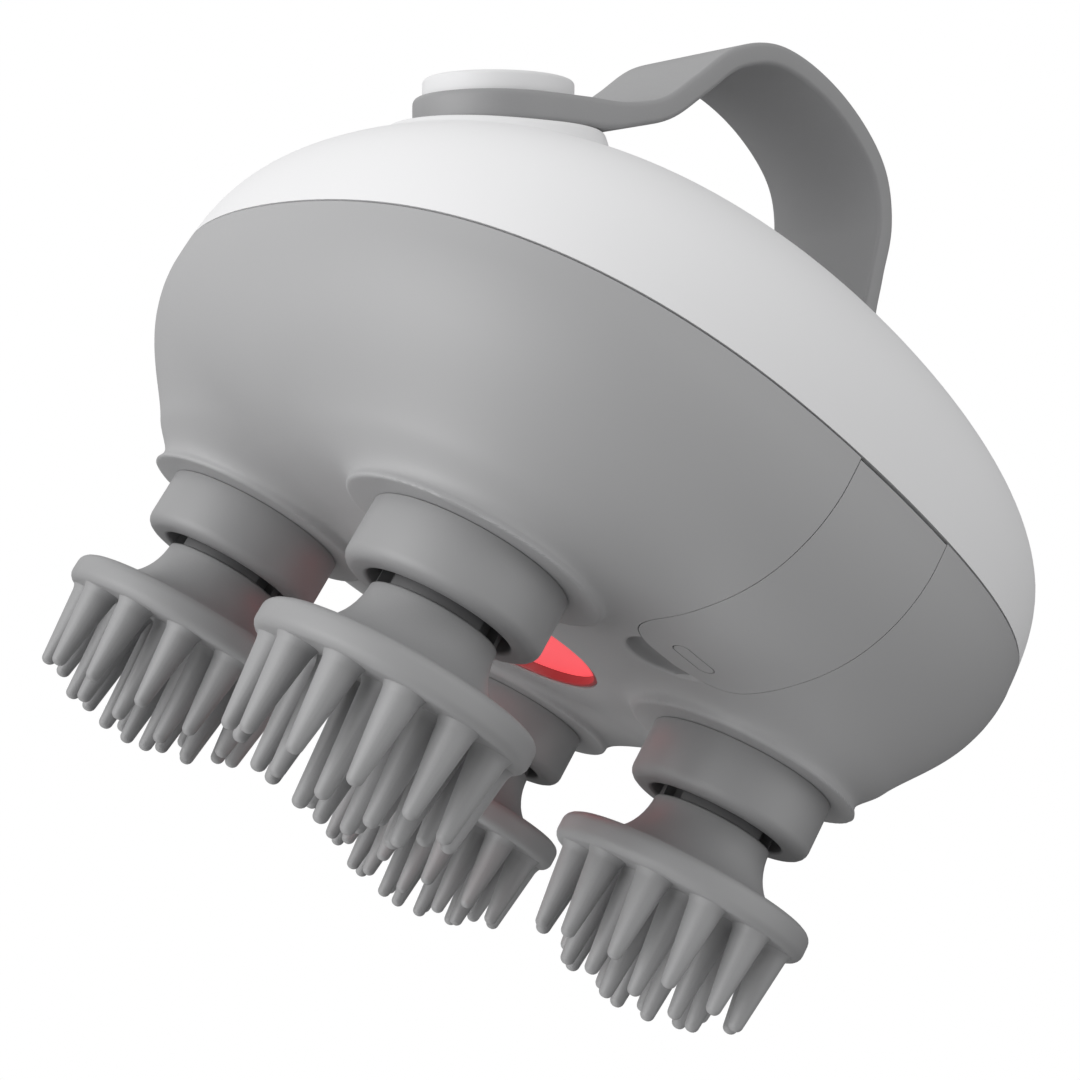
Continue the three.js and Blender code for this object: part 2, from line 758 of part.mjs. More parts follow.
// Charging socket, its mouth under the port cover
function chargingSocket() {
  const [width, depth, height] = socketSize;
  let socket = solid(block(socketSize, [0, socketY, socketBottom + height / 2]));
  const hollow = [width - 2 * socketWall, depth - 2 * socketWall, height - socketFloor];
  socket = socket.subtract(solid(block(hollow, [0, socketY, socketBottom + hollow[2] / 2 - 0.01])));
  const tongueSize = [width - 2 * tongueInset, tongueThickness, height - tongueInset];
  const tongue = block(tongueSize, [0, socketY, socketTop - rootSink - tongueSize[2] / 2]);
  return socket.add(solid(tongue));
}
addPart('usb_socket', chargingSocket(), looks.steel);
addPart('usb_board', block([...socketBoardSize, boardThickness], [0, 0, boardThickness / 2]), looks.board,
  0, socketY, socketTop + fitGap / 2);

// Gears with straight-sided teeth, a tooth centred on the turn angle
function gear(teeth, bore, turn) {
  const pitch = (gearModule * teeth) / 2;
  const step = (2 * Math.PI) / teeth;
  const root = pitch - toothRoot * gearModule;
  const tip = pitch + toothTip * gearModule;
  const outline = new THREE.Shape();
  const corners = [[-rootShare, root], [-tipShare, tip], [tipShare, tip], [rootShare, root]];
  for (let i = 0; i < teeth; i += 1) {
    corners.forEach(([share, radius], k) => {
      const angle = turn + (i + share) * step;
      const [x, y] = [radius * Math.cos(angle), radius * Math.sin(angle)];
      if (i === 0 && k === 0) outline.moveTo(x, y);
      else outline.lineTo(x, y);
    });
  }
  const hole = new THREE.Path();
  hole.absarc(0, 0, bore, 0, 2 * Math.PI, true);
  outline.holes.push(hole);
  return new THREE.ExtrudeGeometry(outline, { depth: gearWidth, bevelEnabled: false, curveSegments: 6 });
}

addPart('drive_gear', gear(driveTeeth, spindleRadius + runningGap, 0), looks.acetal, 0, 0, gearBottom);
addPart('drive_axle', turned([
  [0, axleBottom],
  [spindleShoulder, axleBottom],
  [spindleShoulder, axleBottom + axleShoulderHeight],
  [spindleRadius, axleBottom + axleShoulderHeight],
  [spindleRadius, plateTop],
  [0, plateTop],
], 16), looks.steel);

// Turn angle at which a gear meshes with the drive gear, seen from the drive gear's axis
function meshTurn(direction, teeth) {
  return direction + Math.PI + (driveTeeth * direction - Math.PI) / teeth;
}

const pinionTurn = meshTurn(Math.PI / 2, pinionTeeth);
const pinion = gear(pinionTeeth, motorShaftRadius + runningGap, pinionTurn);
addPart('motor_pinion', pinion, looks.acetal, 0, pinionY, gearBottom);
const shaftTop = motorBottom + shaftReach;
addPart('motor_shaft', rod(motorShaftRadius, gearBottom - shaftEnd, shaftTop, 12), looks.steel, 0, pinionY, 0);
const motorBody = solid(turned([
  [0, motorBottom],
  [motorRadius, motorBottom],
  [motorRadius, motorBottom + motorHeight - motorEdge],
  [motorRadius - motorEdge, motorBottom + motorHeight],
  [0, motorBottom + motorHeight],
], 24));
const shaftHole = solid(rod(motorShaftRadius + fitGap, motorBottom - 1, shaftTop + 1, 12));
addPart('gear_motor', motorBody.subtract(shaftHole), looks.steel, 0, pinionY, 0);

function gearPlate() {
  let plate = solid(rod(plateRadius, plateBottom, plateTop, 28));
  const [boardWidth, boardDepth] = mainBoardSize;
  const [boardX, boardY] = mainBoardCentre;
  for (const sx of [-1, 1]) {
    const saddle = block(
      [saddleWidth, 2 * (batteryRadius + saddleMargin), batteryRadius],
      [sx * saddlePlace, batteryY, plateTop + batteryRadius / 2 - rootSink],
    );
    plate = plate.add(solid(saddle));
    for (const sy of [-1, 1]) {
      const x = boardX + sx * (boardWidth / 2 - standoffInset);
      const y = boardY + sy * (boardDepth / 2 - standoffInset);
      plate = plate.add(solid(rod(standoffRadius, plateTop - rootSink, plateTop + standoffHeight, 8, x, y)));
    }
  }
  const room = new THREE.CylinderGeometry(batteryRadius + fitGap, batteryRadius + fitGap, batteryLength + 8, 16);
  room.rotateZ(Math.PI / 2);
  room.translate(0, batteryY, batteryZ);
  plate = plate.subtract(solid(room));
  for (const [x, y] of [...headPlaces, [0, 0]]) {
    plate = plate.subtract(solid(rod(spindleRadius + runningGap, plateBottom - 1, plateTop + 1, 12, x, y)));
  }
  plate = plate.subtract(solid(rod(motorShaftRadius + 1, plateBottom - 1, plateTop + 1, 12, 0, pinionY)));
  for (const [x, y] of postPlaces) {
    plate = plate.subtract(solid(rod(screwRadius + fitGap, plateBottom - 1, plateTop + 1, 8, x, y)));
  }
  return plate;
}
addPart('gear_plate', gearPlate(), looks.acetal);

const cell = new THREE.CylinderGeometry(batteryRadius, batteryRadius, batteryLength, 24);
cell.rotateZ(Math.PI / 2);
addPart('battery', cell, looks.cell, 0, batteryY, batteryZ);
addPart('main_board', block([...mainBoardSize, boardThickness], [0, 0, boardThickness / 2]), looks.board,
  ...mainBoardCentre, plateTop + standoffHeight + fitGap);

postPlaces.forEach(([x, y], i) => {
  addPart(`plate_screw_${i + 1}`, turned([
    [0, plateTop - screwLength],
    [screwRadius, plateTop - screwLength],
    [screwRadius, plateTop + fitGap],
    [screwHeadRadius, plateTop + fitGap],
    [screwHeadRadius, plateTop + fitGap + screwHeadHeight],
    [0, plateTop + fitGap + screwHeadHeight],
  ], 8), looks.steel, x, y, 0);
});

// One massage head: a waisted silicone cup with its rings of fingers
function massageHead() {
  const wide = discRadius - discShelf;
  const flare = [];
  const steps = 3;
  for (let i = 0; i <= steps; i += 1) {
    const angle = (i / steps) * (Math.PI / 2);
    flare.push([
      wide - (wide - neckRadius) * Math.cos(angle),
      neckTop - (neckTop - discTop) * Math.sin(angle),
    ]);
  }
  let head = solid(turned([
    [0, hubBottom - fitGap],
    [hubRadius + fitGap, hubBottom - fitGap],
    [hubRadius + fitGap, neckTop],
    ...flare,
    [discRadius - discEdge, discTop],
    [discRadius, discTop - discEdge],
    [discRadius, discBottom + discEdge],
    [discRadius - discEdge, discBottom],
    [0, discBottom],
  ], 18));
  for (const { count, radius, tip, turn } of fingerRings) {
    const standsOn = tip === 0;
    const finger = turned([
      [0, tip],
      ...(standsOn ? [[tipFlat, tip]] : []),
      [fingerTip, tip + fingerNose],
      [fingerBase, discBottom + rootSink],
      [0, discBottom + rootSink],
    ], 5);
    for (let i = 0; i < count; i += 1) {
      const angle = (turn + (i * 360) / count) * deg;
      const copy = finger.clone().translate(radius * Math.cos(angle), radius * Math.sin(angle), 0);
      head = head.add(solid(copy));
    }
  }
  return geometryOf(head);
}

// Rigid core of a head: its crown has slots that let it clip on the spindle
function headHub() {
  const bore = spindleRadius + runningGap;
  let hub = solid(ring([
    [bore, hubBottom],
    [hubRadius, hubBottom],
    [hubRadius, neckTop + fitGap],
    [hubCrownRadius, neckTop + fitGap],
    [hubCrownRadius, hubTop],
    [bore, hubTop],
  ], 12));
  const slotSize = [2 * hubSlotDepth, hubSlotWidth, hubCrownHeight - 1];
  for (let i = 0; i < hubSlotCount; i += 1) {
    const slot = block(slotSize, [hubCrownRadius, 0, neckTop + slotSize[2] / 2]);
    slot.rotateZ((hubSlotTurn + (i * 360) / hubSlotCount) * deg);
    hub = hub.subtract(solid(slot));
  }
  return geometryOf(hub);
}

const collarShape = ring([
  [collarRadius, collarTop],
  [collarRadius, collarBottom + collarLip],
  [collarRadius - collarLip, collarBottom],
  [collarBore, collarBottom],
  [collarBore, webBottom],
  [bushingRadius + fitGap, webBottom],
  [bushingRadius + fitGap, webTop],
  [spigotRadius, webTop],
  [spigotRadius, collarTop],
], 18);
const bushingBottom = webBottom - webRise + runningGap;
const bushingShape = ring([
  [spindleRadius + runningGap, bushingBottom],
  [bushingRadius, bushingBottom],
  [bushingRadius, webTop + fitGap],
  [bushingFlange, webTop + fitGap],
  [bushingFlange, bushingTop],
  [spindleRadius + runningGap, bushingTop],
], 10);
const sealBottom = hubTop + sealGap;
const sealTop = sealBottom + sealThickness;
const sealShape = ring([
  [spindleRadius + fitGap, sealBottom],
  [collarBore - fitGap, sealBottom],
  [collarBore - fitGap, sealTop],
  [spindleRadius + fitGap, sealTop],
], 10);
const shoulderBottom = bushingTop + fitGap;
const shoulderTop = shoulderBottom + shoulderHeight;
const spindleShape = turned([
  [0, hubBottom + spindleSeat],
  [spindleRadius, hubBottom + spindleSeat],
  [spindleRadius, shoulderBottom],
  [spindleShoulder, shoulderBottom],
  [spindleShoulder, shoulderTop],
  [spindleRadius, shoulderTop],
  [spindleRadius, spindleTop],
  [0, spindleTop],
], 8);
const headShape = massageHead();
const hubShape = headHub();

headPlaces.forEach(([x, y], i) => {
  const number = i + 1;
  const facing = meshTurn(Math.atan2(y, x), headTeeth);
  addPart(`collar_${number}`, collarShape, looks.grey, x, y, 0);
  addPart(`bushing_${number}`, bushingShape, looks.bronze, x, y, 0);
  addPart(`seal_${number}`, sealShape, looks.seal, x, y, 0);
  addPart(`spindle_${number}`, spindleShape, looks.steel, x, y, 0);
  addPart(`head_gear_${number}`, gear(headTeeth, spindleRadius + runningGap, facing), looks.acetal, x, y, gearBottom);
  addPart(`head_hub_${number}`, hubShape, looks.seal, x, y, 0);
  addPart(`massage_head_${number}`, headShape, looks.silicone, x, y, 0);
});

export default massager;
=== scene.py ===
# %% [markdown]
# # An electric scalp massager
# A white dome sits on a grey casing with four legs. Under each leg a collar holds a silicone
# massage head, a strap for the fingers bends over the dome, and a red light shines from the middle
# of the underside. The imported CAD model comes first, because every piece of this lesson stands
# where one of its solids stands. Sizes are written in millimetres, and a finished piece is scaled
# to metres.

# %% Load the frame
import math

import bmesh
import bpy
import numpy as np
from mathutils import Matrix, Vector


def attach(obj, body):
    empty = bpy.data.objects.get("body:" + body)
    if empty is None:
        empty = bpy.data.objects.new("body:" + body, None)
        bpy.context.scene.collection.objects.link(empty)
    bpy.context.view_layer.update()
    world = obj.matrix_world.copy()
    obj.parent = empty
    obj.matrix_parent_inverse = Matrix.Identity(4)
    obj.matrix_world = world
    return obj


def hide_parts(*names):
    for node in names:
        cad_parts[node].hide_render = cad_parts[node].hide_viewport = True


MM_PER_METRE = 1000

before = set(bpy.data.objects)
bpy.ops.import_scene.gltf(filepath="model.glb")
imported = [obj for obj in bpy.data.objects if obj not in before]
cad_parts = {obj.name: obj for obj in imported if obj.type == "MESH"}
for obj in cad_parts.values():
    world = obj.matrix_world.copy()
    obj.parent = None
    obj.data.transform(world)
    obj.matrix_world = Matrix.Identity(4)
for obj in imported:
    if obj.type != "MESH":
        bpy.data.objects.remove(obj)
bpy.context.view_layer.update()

# %% [markdown]
# The photograph looks up at the massager from below its feet, with the camera rolled. A camera's
# own axes are the columns of its matrix: right, up, and back towards the viewer. They could be set
# with angles, but one turn vector that takes the world's axes to the picture's is shorter to write.

# %% Camera
CAMERA_SPOT, CAMERA_TURN = (-133.97, -196.49, -14.38), (1.36134, -0.06054, 0.93456)
FOCAL_LENGTH, SENSOR_WIDTH = 59.25, 36
NEAREST, FARTHEST = 0.01, 20  # metres


def photo_camera():
    turn = Vector(CAMERA_TURN)
    across, down, away = Matrix.Rotation(turn.length, 3, turn.normalized())
    axes = Matrix((across, -down, -away)).transposed()
    lens = bpy.data.cameras.new("photo_camera")
    lens.lens, lens.sensor_width = FOCAL_LENGTH, SENSOR_WIDTH
    lens.clip_start, lens.clip_end = NEAREST, FARTHEST
    camera = bpy.data.objects.new("photo_camera", lens)
    camera.matrix_world = Matrix.Translation(Vector(CAMERA_SPOT) / MM_PER_METRE) @ axes.to_4x4()
    bpy.context.scene.collection.objects.link(camera)
    bpy.context.scene.camera = camera
    return camera


print("camera at", [round(v, 4) for v in photo_camera().location])

# %% [markdown]
# Materials are written as sums. A small class wraps a node's socket, so that `0.5 - grain * 0.1`
# adds its own Math nodes, and one method adds any other kind of node. This keeps a finish readable,
# where a long list of nodes and links would hide what it does.

# %% A kit for node trees
class Reading:
    """A socket that takes part in sums."""

    def __init__(self, nodes, socket):
        self.nodes = nodes
        self.socket = socket

    def sum_with(self, operation, first, second):
        return self.nodes.node("ShaderNodeMath", {"operation": operation}, [first, second])

    def __add__(self, other):
        return self.sum_with("ADD", self, other)

    def __sub__(self, other):
        return self.sum_with("SUBTRACT", self, other)

    def __rsub__(self, other):
        return self.sum_with("SUBTRACT", other, self)

    def __mul__(self, other):
        return self.sum_with("MULTIPLY", self, other)

    __radd__ = __add__
    __rmul__ = __mul__


class Nodes:
    """A node tree that grows one node at a time."""

    def __init__(self, tree):
        self.tree = tree

    def feed(self, socket, value):
        if isinstance(value, Reading):
            self.tree.links.new(value.socket, socket)
        else:
            socket.default_value = value

    def node(self, kind, settings, inputs, output=0):
        made = self.tree.nodes.new(kind)
        for name, value in settings.items():
            setattr(made, name, value)
        places = inputs.items() if isinstance(inputs, dict) else enumerate(inputs)
        for place, value in places:
            self.feed(made.inputs[place], value)
        return Reading(self, made.outputs[output])

    def mix(self, mask, low, high):
        """A colour between two, by a mask. A Mix node's colours are its sockets 6 and 7."""
        colours = {0: mask, 6: low, 7: high}
        return self.node("ShaderNodeMix", {"data_type": "RGBA"}, colours, output=2)


print("node kit ready")

# %% [markdown]
# Every solid finish here starts as a Principled shader. Moulded plastic and silicone are never
# quite even: the tone drifts slowly, and the tool's fine spark texture shows as a grain in the
# gloss. Both come from noise on Object coordinates, which stays put on the piece from any side.
# The button is a little greyer than the dome, and the collars are glossier than the casing and
# painted darker, as painted shade for the shade that falls on them under the legs, but each pair is
# one plastic, so both finishes of a pair name the same slot.

# %% Finishes
CLOUD_SIZE, CLOUD_SHARE = 22, 0.8
SPECK_GLOSS, CLOUD_GLOSS = 0.12, 0.06


def tone(red, green, blue):
    """A colour as a picture shows it, 0 to 255, turned into the linear values of a shader."""
    parts = [c / 255 for c in (red, green, blue)]
    linear = [c / 12.92 if c <= 0.04045 else ((c + 0.055) / 1.055) ** 2.4 for c in parts]
    return (*linear, 1.0)


class Finish(Nodes):
    def __init__(self, name, colour, roughness, metallic=0.0):
        self.slot = name
        self.material = bpy.data.materials.new(f"{name}_finish")
        self.material.use_nodes = True
        super().__init__(self.material.node_tree)
        self.shader = self.tree.nodes["Principled BSDF"]
        self.colour = colour
        self.set("Base Color", colour)
        self.set("Roughness", roughness)
        self.set("Metallic", metallic)
        self.place = self.node("ShaderNodeTexCoord", {}, [], output="Object")

    def set(self, socket, value):
        self.feed(self.shader.inputs[socket], value)

    def noise(self, size, detail=2.0):
        """Noise whose blotches are about size millimetres across."""
        inputs = {"Vector": self.place, "Scale": MM_PER_METRE / size, "Detail": detail}
        return self.node("ShaderNodeTexNoise", {}, inputs)

    def shade(self, mask, darker, lighter):
        """The base colour times something between darker and lighter, by a mask."""
        low = tuple(c * darker for c in self.colour[:3]) + (1.0,)
        high = tuple(min(1, c * lighter) for c in self.colour[:3]) + (1.0,)
        self.set("Base Color", self.mix(mask, low, high))

    def grain(self, height, depth):
        """A bump whose full height is depth millimetres."""
        inputs = {"Height": height, "Strength": 1.0, "Distance": depth / MM_PER_METRE}
        self.set("Normal", self.node("ShaderNodeBump", {}, inputs))


def moulded(name, colour, roughness, grain, depth, drift=0.025):
    """Plastic or rubber out of a spark-textured tool. Its grain and depth are in millimetres."""
    finish = Finish(name, colour, roughness)
    cloud = finish.noise(CLOUD_SIZE)
    speck = finish.noise(grain)
    finish.shade(cloud * CLOUD_SHARE + speck * (1 - CLOUD_SHARE), 1 - drift, 1 + drift)
    uneven = roughness + (speck - 0.5) * SPECK_GLOSS + (cloud - 0.5) * CLOUD_GLOSS
    finish.set("Roughness", uneven)
    finish.grain(speck, depth)
    return finish


white_shell = moulded("white_shell", tone(234, 234, 235), 0.5, 0.35, 0.006, 0.012)
white_button = moulded("white_button", tone(226, 226, 227), 0.5, 0.35, 0.006, 0.012)
white_button.slot = white_shell.slot
grey_shell = moulded("grey_shell", tone(170, 170, 171), 0.44, 0.35, 0.006, 0.02)
# painted shade: the collars' darker tone stands for the shade under the legs, not a darker plastic
shaded_grey_collar = moulded("shaded_grey_collar", tone(156, 156, 157), 0.38, 0.35, 0.006, 0.02)
shaded_grey_collar.slot = grey_shell.slot
strap_silicone = moulded("strap_silicone", tone(148, 148, 149), 0.44, 0.3, 0.008)
head_silicone = moulded("head_silicone", tone(157, 157, 158), 0.42, 0.3, 0.01)
hub_plastic = moulded("hub_plastic", tone(104, 104, 105), 0.5, 0.4, 0.006)
acetal = moulded("acetal", tone(222, 219, 208), 0.4, 0.5, 0.004)
dark_rubber = moulded("dark_rubber", tone(50, 50, 51), 0.7, 0.3, 0.01)
print("moulded finishes:", len(bpy.data.materials))

# %% [markdown]
# Inside the casing are metal, boards and a wrapped cell. Turned metal shows fine rings, so its bump
# is a noise that is squeezed along its axis and stretched across it. A circuit board gets lighter
# copper tracks under its lacquer, from thin, slightly wavy bands, and the cell's shrink wrap is a
# shiny film with faint wrinkles.

# %% Finishes of the inner parts
RING_SQUEEZE, RING_SCALE, RING_GLOSS = (0.2, 0.2, 6.0), 900.0, 0.2
TRACKS = {"Scale": 160.0, "Distortion": 1.5, "Detail Scale": 2.0}


def turned_metal(name, colour, roughness):
    finish = Finish(name, colour, roughness, 1.0)
    squeeze = {"Vector": finish.place, "Scale": RING_SQUEEZE}
    squeezed = finish.node("ShaderNodeMapping", {}, squeeze)
    inputs = {"Vector": squeezed, "Scale": RING_SCALE, "Detail": 2.0}
    rings = finish.node("ShaderNodeTexNoise", {}, inputs)
    finish.shade(rings, 0.85, 1.1)
    finish.set("Roughness", roughness + (rings - 0.5) * RING_GLOSS)
    finish.grain(rings, 0.004)
    return finish


def lacquered_board(name):
    finish = Finish(name, tone(34, 104, 70), 0.35)
    bands = {"wave_type": "BANDS", "bands_direction": "X"}
    tracks = finish.node("ShaderNodeTexWave", bands, {"Vector": finish.place, **TRACKS})
    finish.shade(tracks, 0.75, 1.35)
    finish.grain(tracks, 0.02)
    return finish


def shrink_wrap(name):
    finish = Finish(name, tone(70, 122, 176), 0.25)
    wrinkles = finish.noise(6, 3.0)
    finish.shade(wrinkles, 0.9, 1.1)
    finish.grain(wrinkles, 0.05)
    return finish


steel = turned_metal("steel", tone(196, 199, 203), 0.3)
bronze = turned_metal("bronze", tone(188, 146, 92), 0.4)
circuit_board = lacquered_board("circuit_board")
cell_wrap = shrink_wrap("cell_wrap")
print("finishes:", len(bpy.data.materials))

# %% [markdown]
# Shapes are made in a bmesh, in millimetres. When one is done, `finished` scales it to metres,
# makes an object of it, shades it smooth except along its sharp edges, gives it its finish, hangs
# it on what it rides on, and hides the CAD solids it stands for. A cut is
# left to a Boolean modifier on a passing object, because bmesh has no operator for it.

# %% Helpers for pieces
SHARP_ANGLE = 38


def loose(shape, name):
    """A shape as an object of its own."""
    mesh = bpy.data.meshes.new(name)
    shape.to_mesh(mesh)
    shape.free()
    made = bpy.data.objects.new(name, mesh)
    bpy.context.scene.collection.objects.link(made)
    return made


def finished(shape, name, finish, body, *nodes, sharp=SHARP_ANGLE):
    bmesh.ops.scale(shape, vec=(1 / MM_PER_METRE,) * 3, verts=shape.verts)
    piece = loose(shape, name)
    piece.data.shade_smooth()
    piece.data.set_sharp_from_angle(angle=math.radians(sharp))
    piece.data.materials.append(finish.material)
    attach(piece, body)
    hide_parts(*nodes)
    print(f"{name}: {len(piece.data.polygons)} faces, rides on {body}")


def carved(shape, tool, operation="DIFFERENCE"):
    """The shape after a cut by the tool, or what the two share."""
    body, knife = loose(shape, "body"), loose(tool, "knife")
    step = body.modifiers.new("cut", "BOOLEAN")
    step.operation, step.solver, step.object = operation, "EXACT", knife
    result = bmesh.new()
    result.from_object(body, bpy.context.evaluated_depsgraph_get())
    for passing in (body, knife):
        mesh = passing.data
        bpy.data.objects.remove(passing)
        bpy.data.meshes.remove(mesh)
    return result


def joined(*shapes):
    """Several shapes in one bmesh."""
    first, *rest = shapes
    for shape in rest:
        mesh = bpy.data.meshes.new("part")
        shape.to_mesh(mesh)
        shape.free()
        first.from_mesh(mesh)
        bpy.data.meshes.remove(mesh)
    return first


def moved(shape, matrix):
    bmesh.ops.transform(shape, matrix=matrix, verts=shape.verts)
    return shape


def raised(shape, height):
    """Extrudes a flat shape upwards, and gives its new vertices."""
    grown = bmesh.ops.extrude_face_region(shape, geom=shape.faces[:])
    top = [v for v in grown["geom"] if isinstance(v, bmesh.types.BMVert)]
    bmesh.ops.translate(shape, vec=(0, 0, height), verts=top)
    return top


def rounded(shape, edges, radius):
    bmesh.ops.bevel(shape, geom=edges, offset=radius, offset_type="OFFSET", segments=5,
                    profile=0.5, affect="EDGES", material=-1)


print("piece helpers ready")

# %% [markdown]
# Collars, heads, caps and the lens are all turned shapes. Their outline goes in as corners of
# radius and height, a spin makes the solid, and then each ring of edges that has a rounding is
# bevelled. Bevelling after the spin keeps the outline short to read, because no arc has to be
# written out.

# %% Turned shapes
WELD, SAME_PLACE = 1e-4, 1e-3
FINE = 96


def turned(corners, segments=72, closed=False):
    """A solid of revolution about Z from (radius, height, rounding) corners."""
    shape = bmesh.new()
    line = [shape.verts.new((radius, 0, height)) for radius, height, _ in corners]
    for pair in zip(line, line[1:] + (line[:1] if closed else [])):
        shape.edges.new(pair)
    bmesh.ops.spin(shape, geom=shape.verts[:] + shape.edges[:], cent=(0, 0, 0), axis=(0, 0, 1),
                   angle=2 * math.pi, steps=segments, use_merge=True)
    bmesh.ops.remove_doubles(shape, verts=shape.verts, dist=WELD)
    bmesh.ops.recalc_face_normals(shape, faces=shape.faces)
    for radius, height, rounding in corners:
        if rounding:
            level = [v for v in shape.verts if abs(v.co.z - height) < SAME_PLACE]
            here = {v for v in level if abs(v.co.xy.length - radius) < SAME_PLACE}
            rounded(shape, [e for e in shape.edges if here.issuperset(e.verts)], rounding)
    return shape


def post(radius, low, high, x=0, y=0, segments=48):
    shape = turned([(0, low, 0), (radius, low, 0), (radius, high, 0), (0, high, 0)], segments)
    return moved(shape, Matrix.Translation((x, y, 0)))


print("turned shapes ready")

# %% [markdown]
# The casing is one flowing form: a squarish dome and bowl, and four legs that run out of the bowl
# without an edge. Subdivision surfaces could be pushed to it by eye, but the CAD model has it as a
# formula, about the distance from the skin, and with the same formula here every point is on the
# CAD's surface. Only low on the legs is this one drawn in more: there the blend between bowl and
# leg narrows and the leg flares late, which leaves the crisp rim that the real legs end in.

# %% The body's skin as a formula
BODY_RADIUS, SQUARENESS, WIDEST = 62.2, 0.0389, 59.05
DOME_RISE, DOME_PLAN, DOME_POWER = 34.2, 2.2, 2.86
BOWL_DROP, BOWL_PLAN, BOWL_POWER = 21.65, 5.08, 1.9
HEAD_SPACING, LEG_RADIUS, LEG_FLARE, FLARE_LENGTH = 26.65, 10.0, 6.3, 3.2
OUTER_BLEND, INNER_BLEND, INNER_REACH, OUTER_REACH = 18.5, 8.0, 10.0, 51.4
LENS_SWELL, SWELL_INNER, SWELL_OUTER = 0.9, 16.0, 28.0
BOSS = 35.3  # the height at which the legs end
LEG_END = BOSS - 1  # where their formula ends, a little under the cut
RIM_BLEND, RIM_HEIGHT = 0.45, 5.5  # the blend's share at the rim, and how far up it is whole
BOWL_RIM, DOME_RIM = 62.1, 62.375
LEAST_SLOPE = 1e-4


def soft_min(a, b, width):
    share = np.clip(0.5 + 0.5 * (b - a) / width, 0, 1)
    return b + (a - b) * share - width * share * (1 - share)


def soft_max(a, b, width):
    return -soft_min(-a, -b, width)


def ramp(value, start, end):
    """A smooth step from 0 to 1 between two values."""
    share = np.clip((value - start) / (end - start), 0, 1)
    return share ** 2 * (3 - 2 * share)


def curve_distance(a, a_scale, a_power, b, b_scale, b_power):
    """A curve a^p + b^q = 1 as a distance: its value over the length of its gradient."""
    value = a ** a_power + b ** b_power - 1
    a_slope = a_power * a ** (a_power - 1) / a_scale
    b_slope = b_power * b ** (b_power - 1) / b_scale
    return value / (np.hypot(a_slope, b_slope) + LEAST_SLOPE)


def leg_distance(x, y):
    """The distance from the nearest leg's axis."""
    return np.hypot(np.abs(x) - HEAD_SPACING, np.abs(y) - HEAD_SPACING)


def body_field(x, y, z):
    radius = np.hypot(x, y)
    share = np.minimum(1, radius / BODY_RADIUS)
    across = BODY_RADIUS * (1 - SQUARENESS * share ** 2 * np.cos(4 * np.arctan2(y, x)))
    rise = np.maximum(z - WIDEST, 0) / DOME_RISE
    swell = LENS_SWELL * (1 - ramp(radius, SWELL_INNER, SWELL_OUTER))
    drop = np.maximum(WIDEST - z, 0) / (BOWL_DROP + swell)
    dome = curve_distance(radius / across, across, DOME_PLAN, rise, DOME_RISE, DOME_POWER)
    bowl = curve_distance(radius / across, across, BOWL_PLAN, drop, BOWL_DROP, BOWL_POWER)
    flare = LEG_FLARE * np.exp((BOSS - np.maximum(z, LEG_END)) / FLARE_LENGTH)
    leg = leg_distance(x, y) - (LEG_RADIUS + flare)
    width = INNER_BLEND + (OUTER_BLEND - INNER_BLEND) * ramp(radius, INNER_REACH, OUTER_REACH)
    width *= RIM_BLEND + (1 - RIM_BLEND) * ramp(z, LEG_END, BOSS + RIM_HEIGHT)
    return np.where(z > WIDEST, dome, soft_min(bowl, leg, width))


seam_spot = [np.array(v) for v in (59.75, 0.0, 62.0)]
print("skin at the seam, x axis:", round(float(body_field(*seam_spot)), 2))

# %% [markdown]
# Two tools find the skin. One runs out from a centre until the formula's sign changes, and then
# halves the last step again and again. The other slides points that are already near the skin
# along the formula's slope, as a Shrinkwrap modifier would, but onto the exact form.

# %% Finding the skin
def steepest(points, field, step=0.02):
    slope = np.zeros_like(points)
    for axis in range(3):
        push = np.zeros(3)
        push[axis] = step
        slope[:, axis] = (field(*(points + push).T) - field(*(points - push).T)) / (2 * step)
    return slope


def settle(points, field, rounds=5):
    """Moves points that are near a surface onto it."""
    for _ in range(rounds):
        slope = steepest(points, field)
        points = points - (field(*points.T) / (slope ** 2).sum(1))[:, None] * slope
    return points


def run_out(ways, centre, field, first=12.0, last=80.0, step=0.5, halvings=24):
    """The points where directions from the centre meet the surface."""
    low, inside = np.full(len(ways), first), np.ones(len(ways), bool)
    for far in np.arange(first, last, step):
        inside &= field(*(centre + ways * far).T) < 0
        low[inside] = far
    high = low + step
    for _ in range(halvings):
        middle = (low + high) / 2
        short = field(*(centre + ways * middle[:, None]).T) < 0
        low, high = np.where(short, middle, low), np.where(short, high, middle)
    return centre + ways * low[:, None]


print("skin tools ready")

# %% [markdown]
# A shell grows from directions. An arc of them, seen from a point in the middle of the seam, is
# spun round, and then every vertex runs out along its own direction until it meets the skin. The
# same arc at a second radius becomes the inner side, so the wall is closed and has its thickness
# from the start, where a Solidify modifier would fold over itself in the legs. Where the skin bends
# sharply, its faces are subdivided and the new vertices settled on it.

# %% Shells from the formula
OUTER_ARC, INNER_ARC = 1.0, 0.5
LEAST_ROWS, WELD_WAYS = 8, 1e-5
SKIN_REACH = 0.6  # vertices within this of the skin belong to the outer side


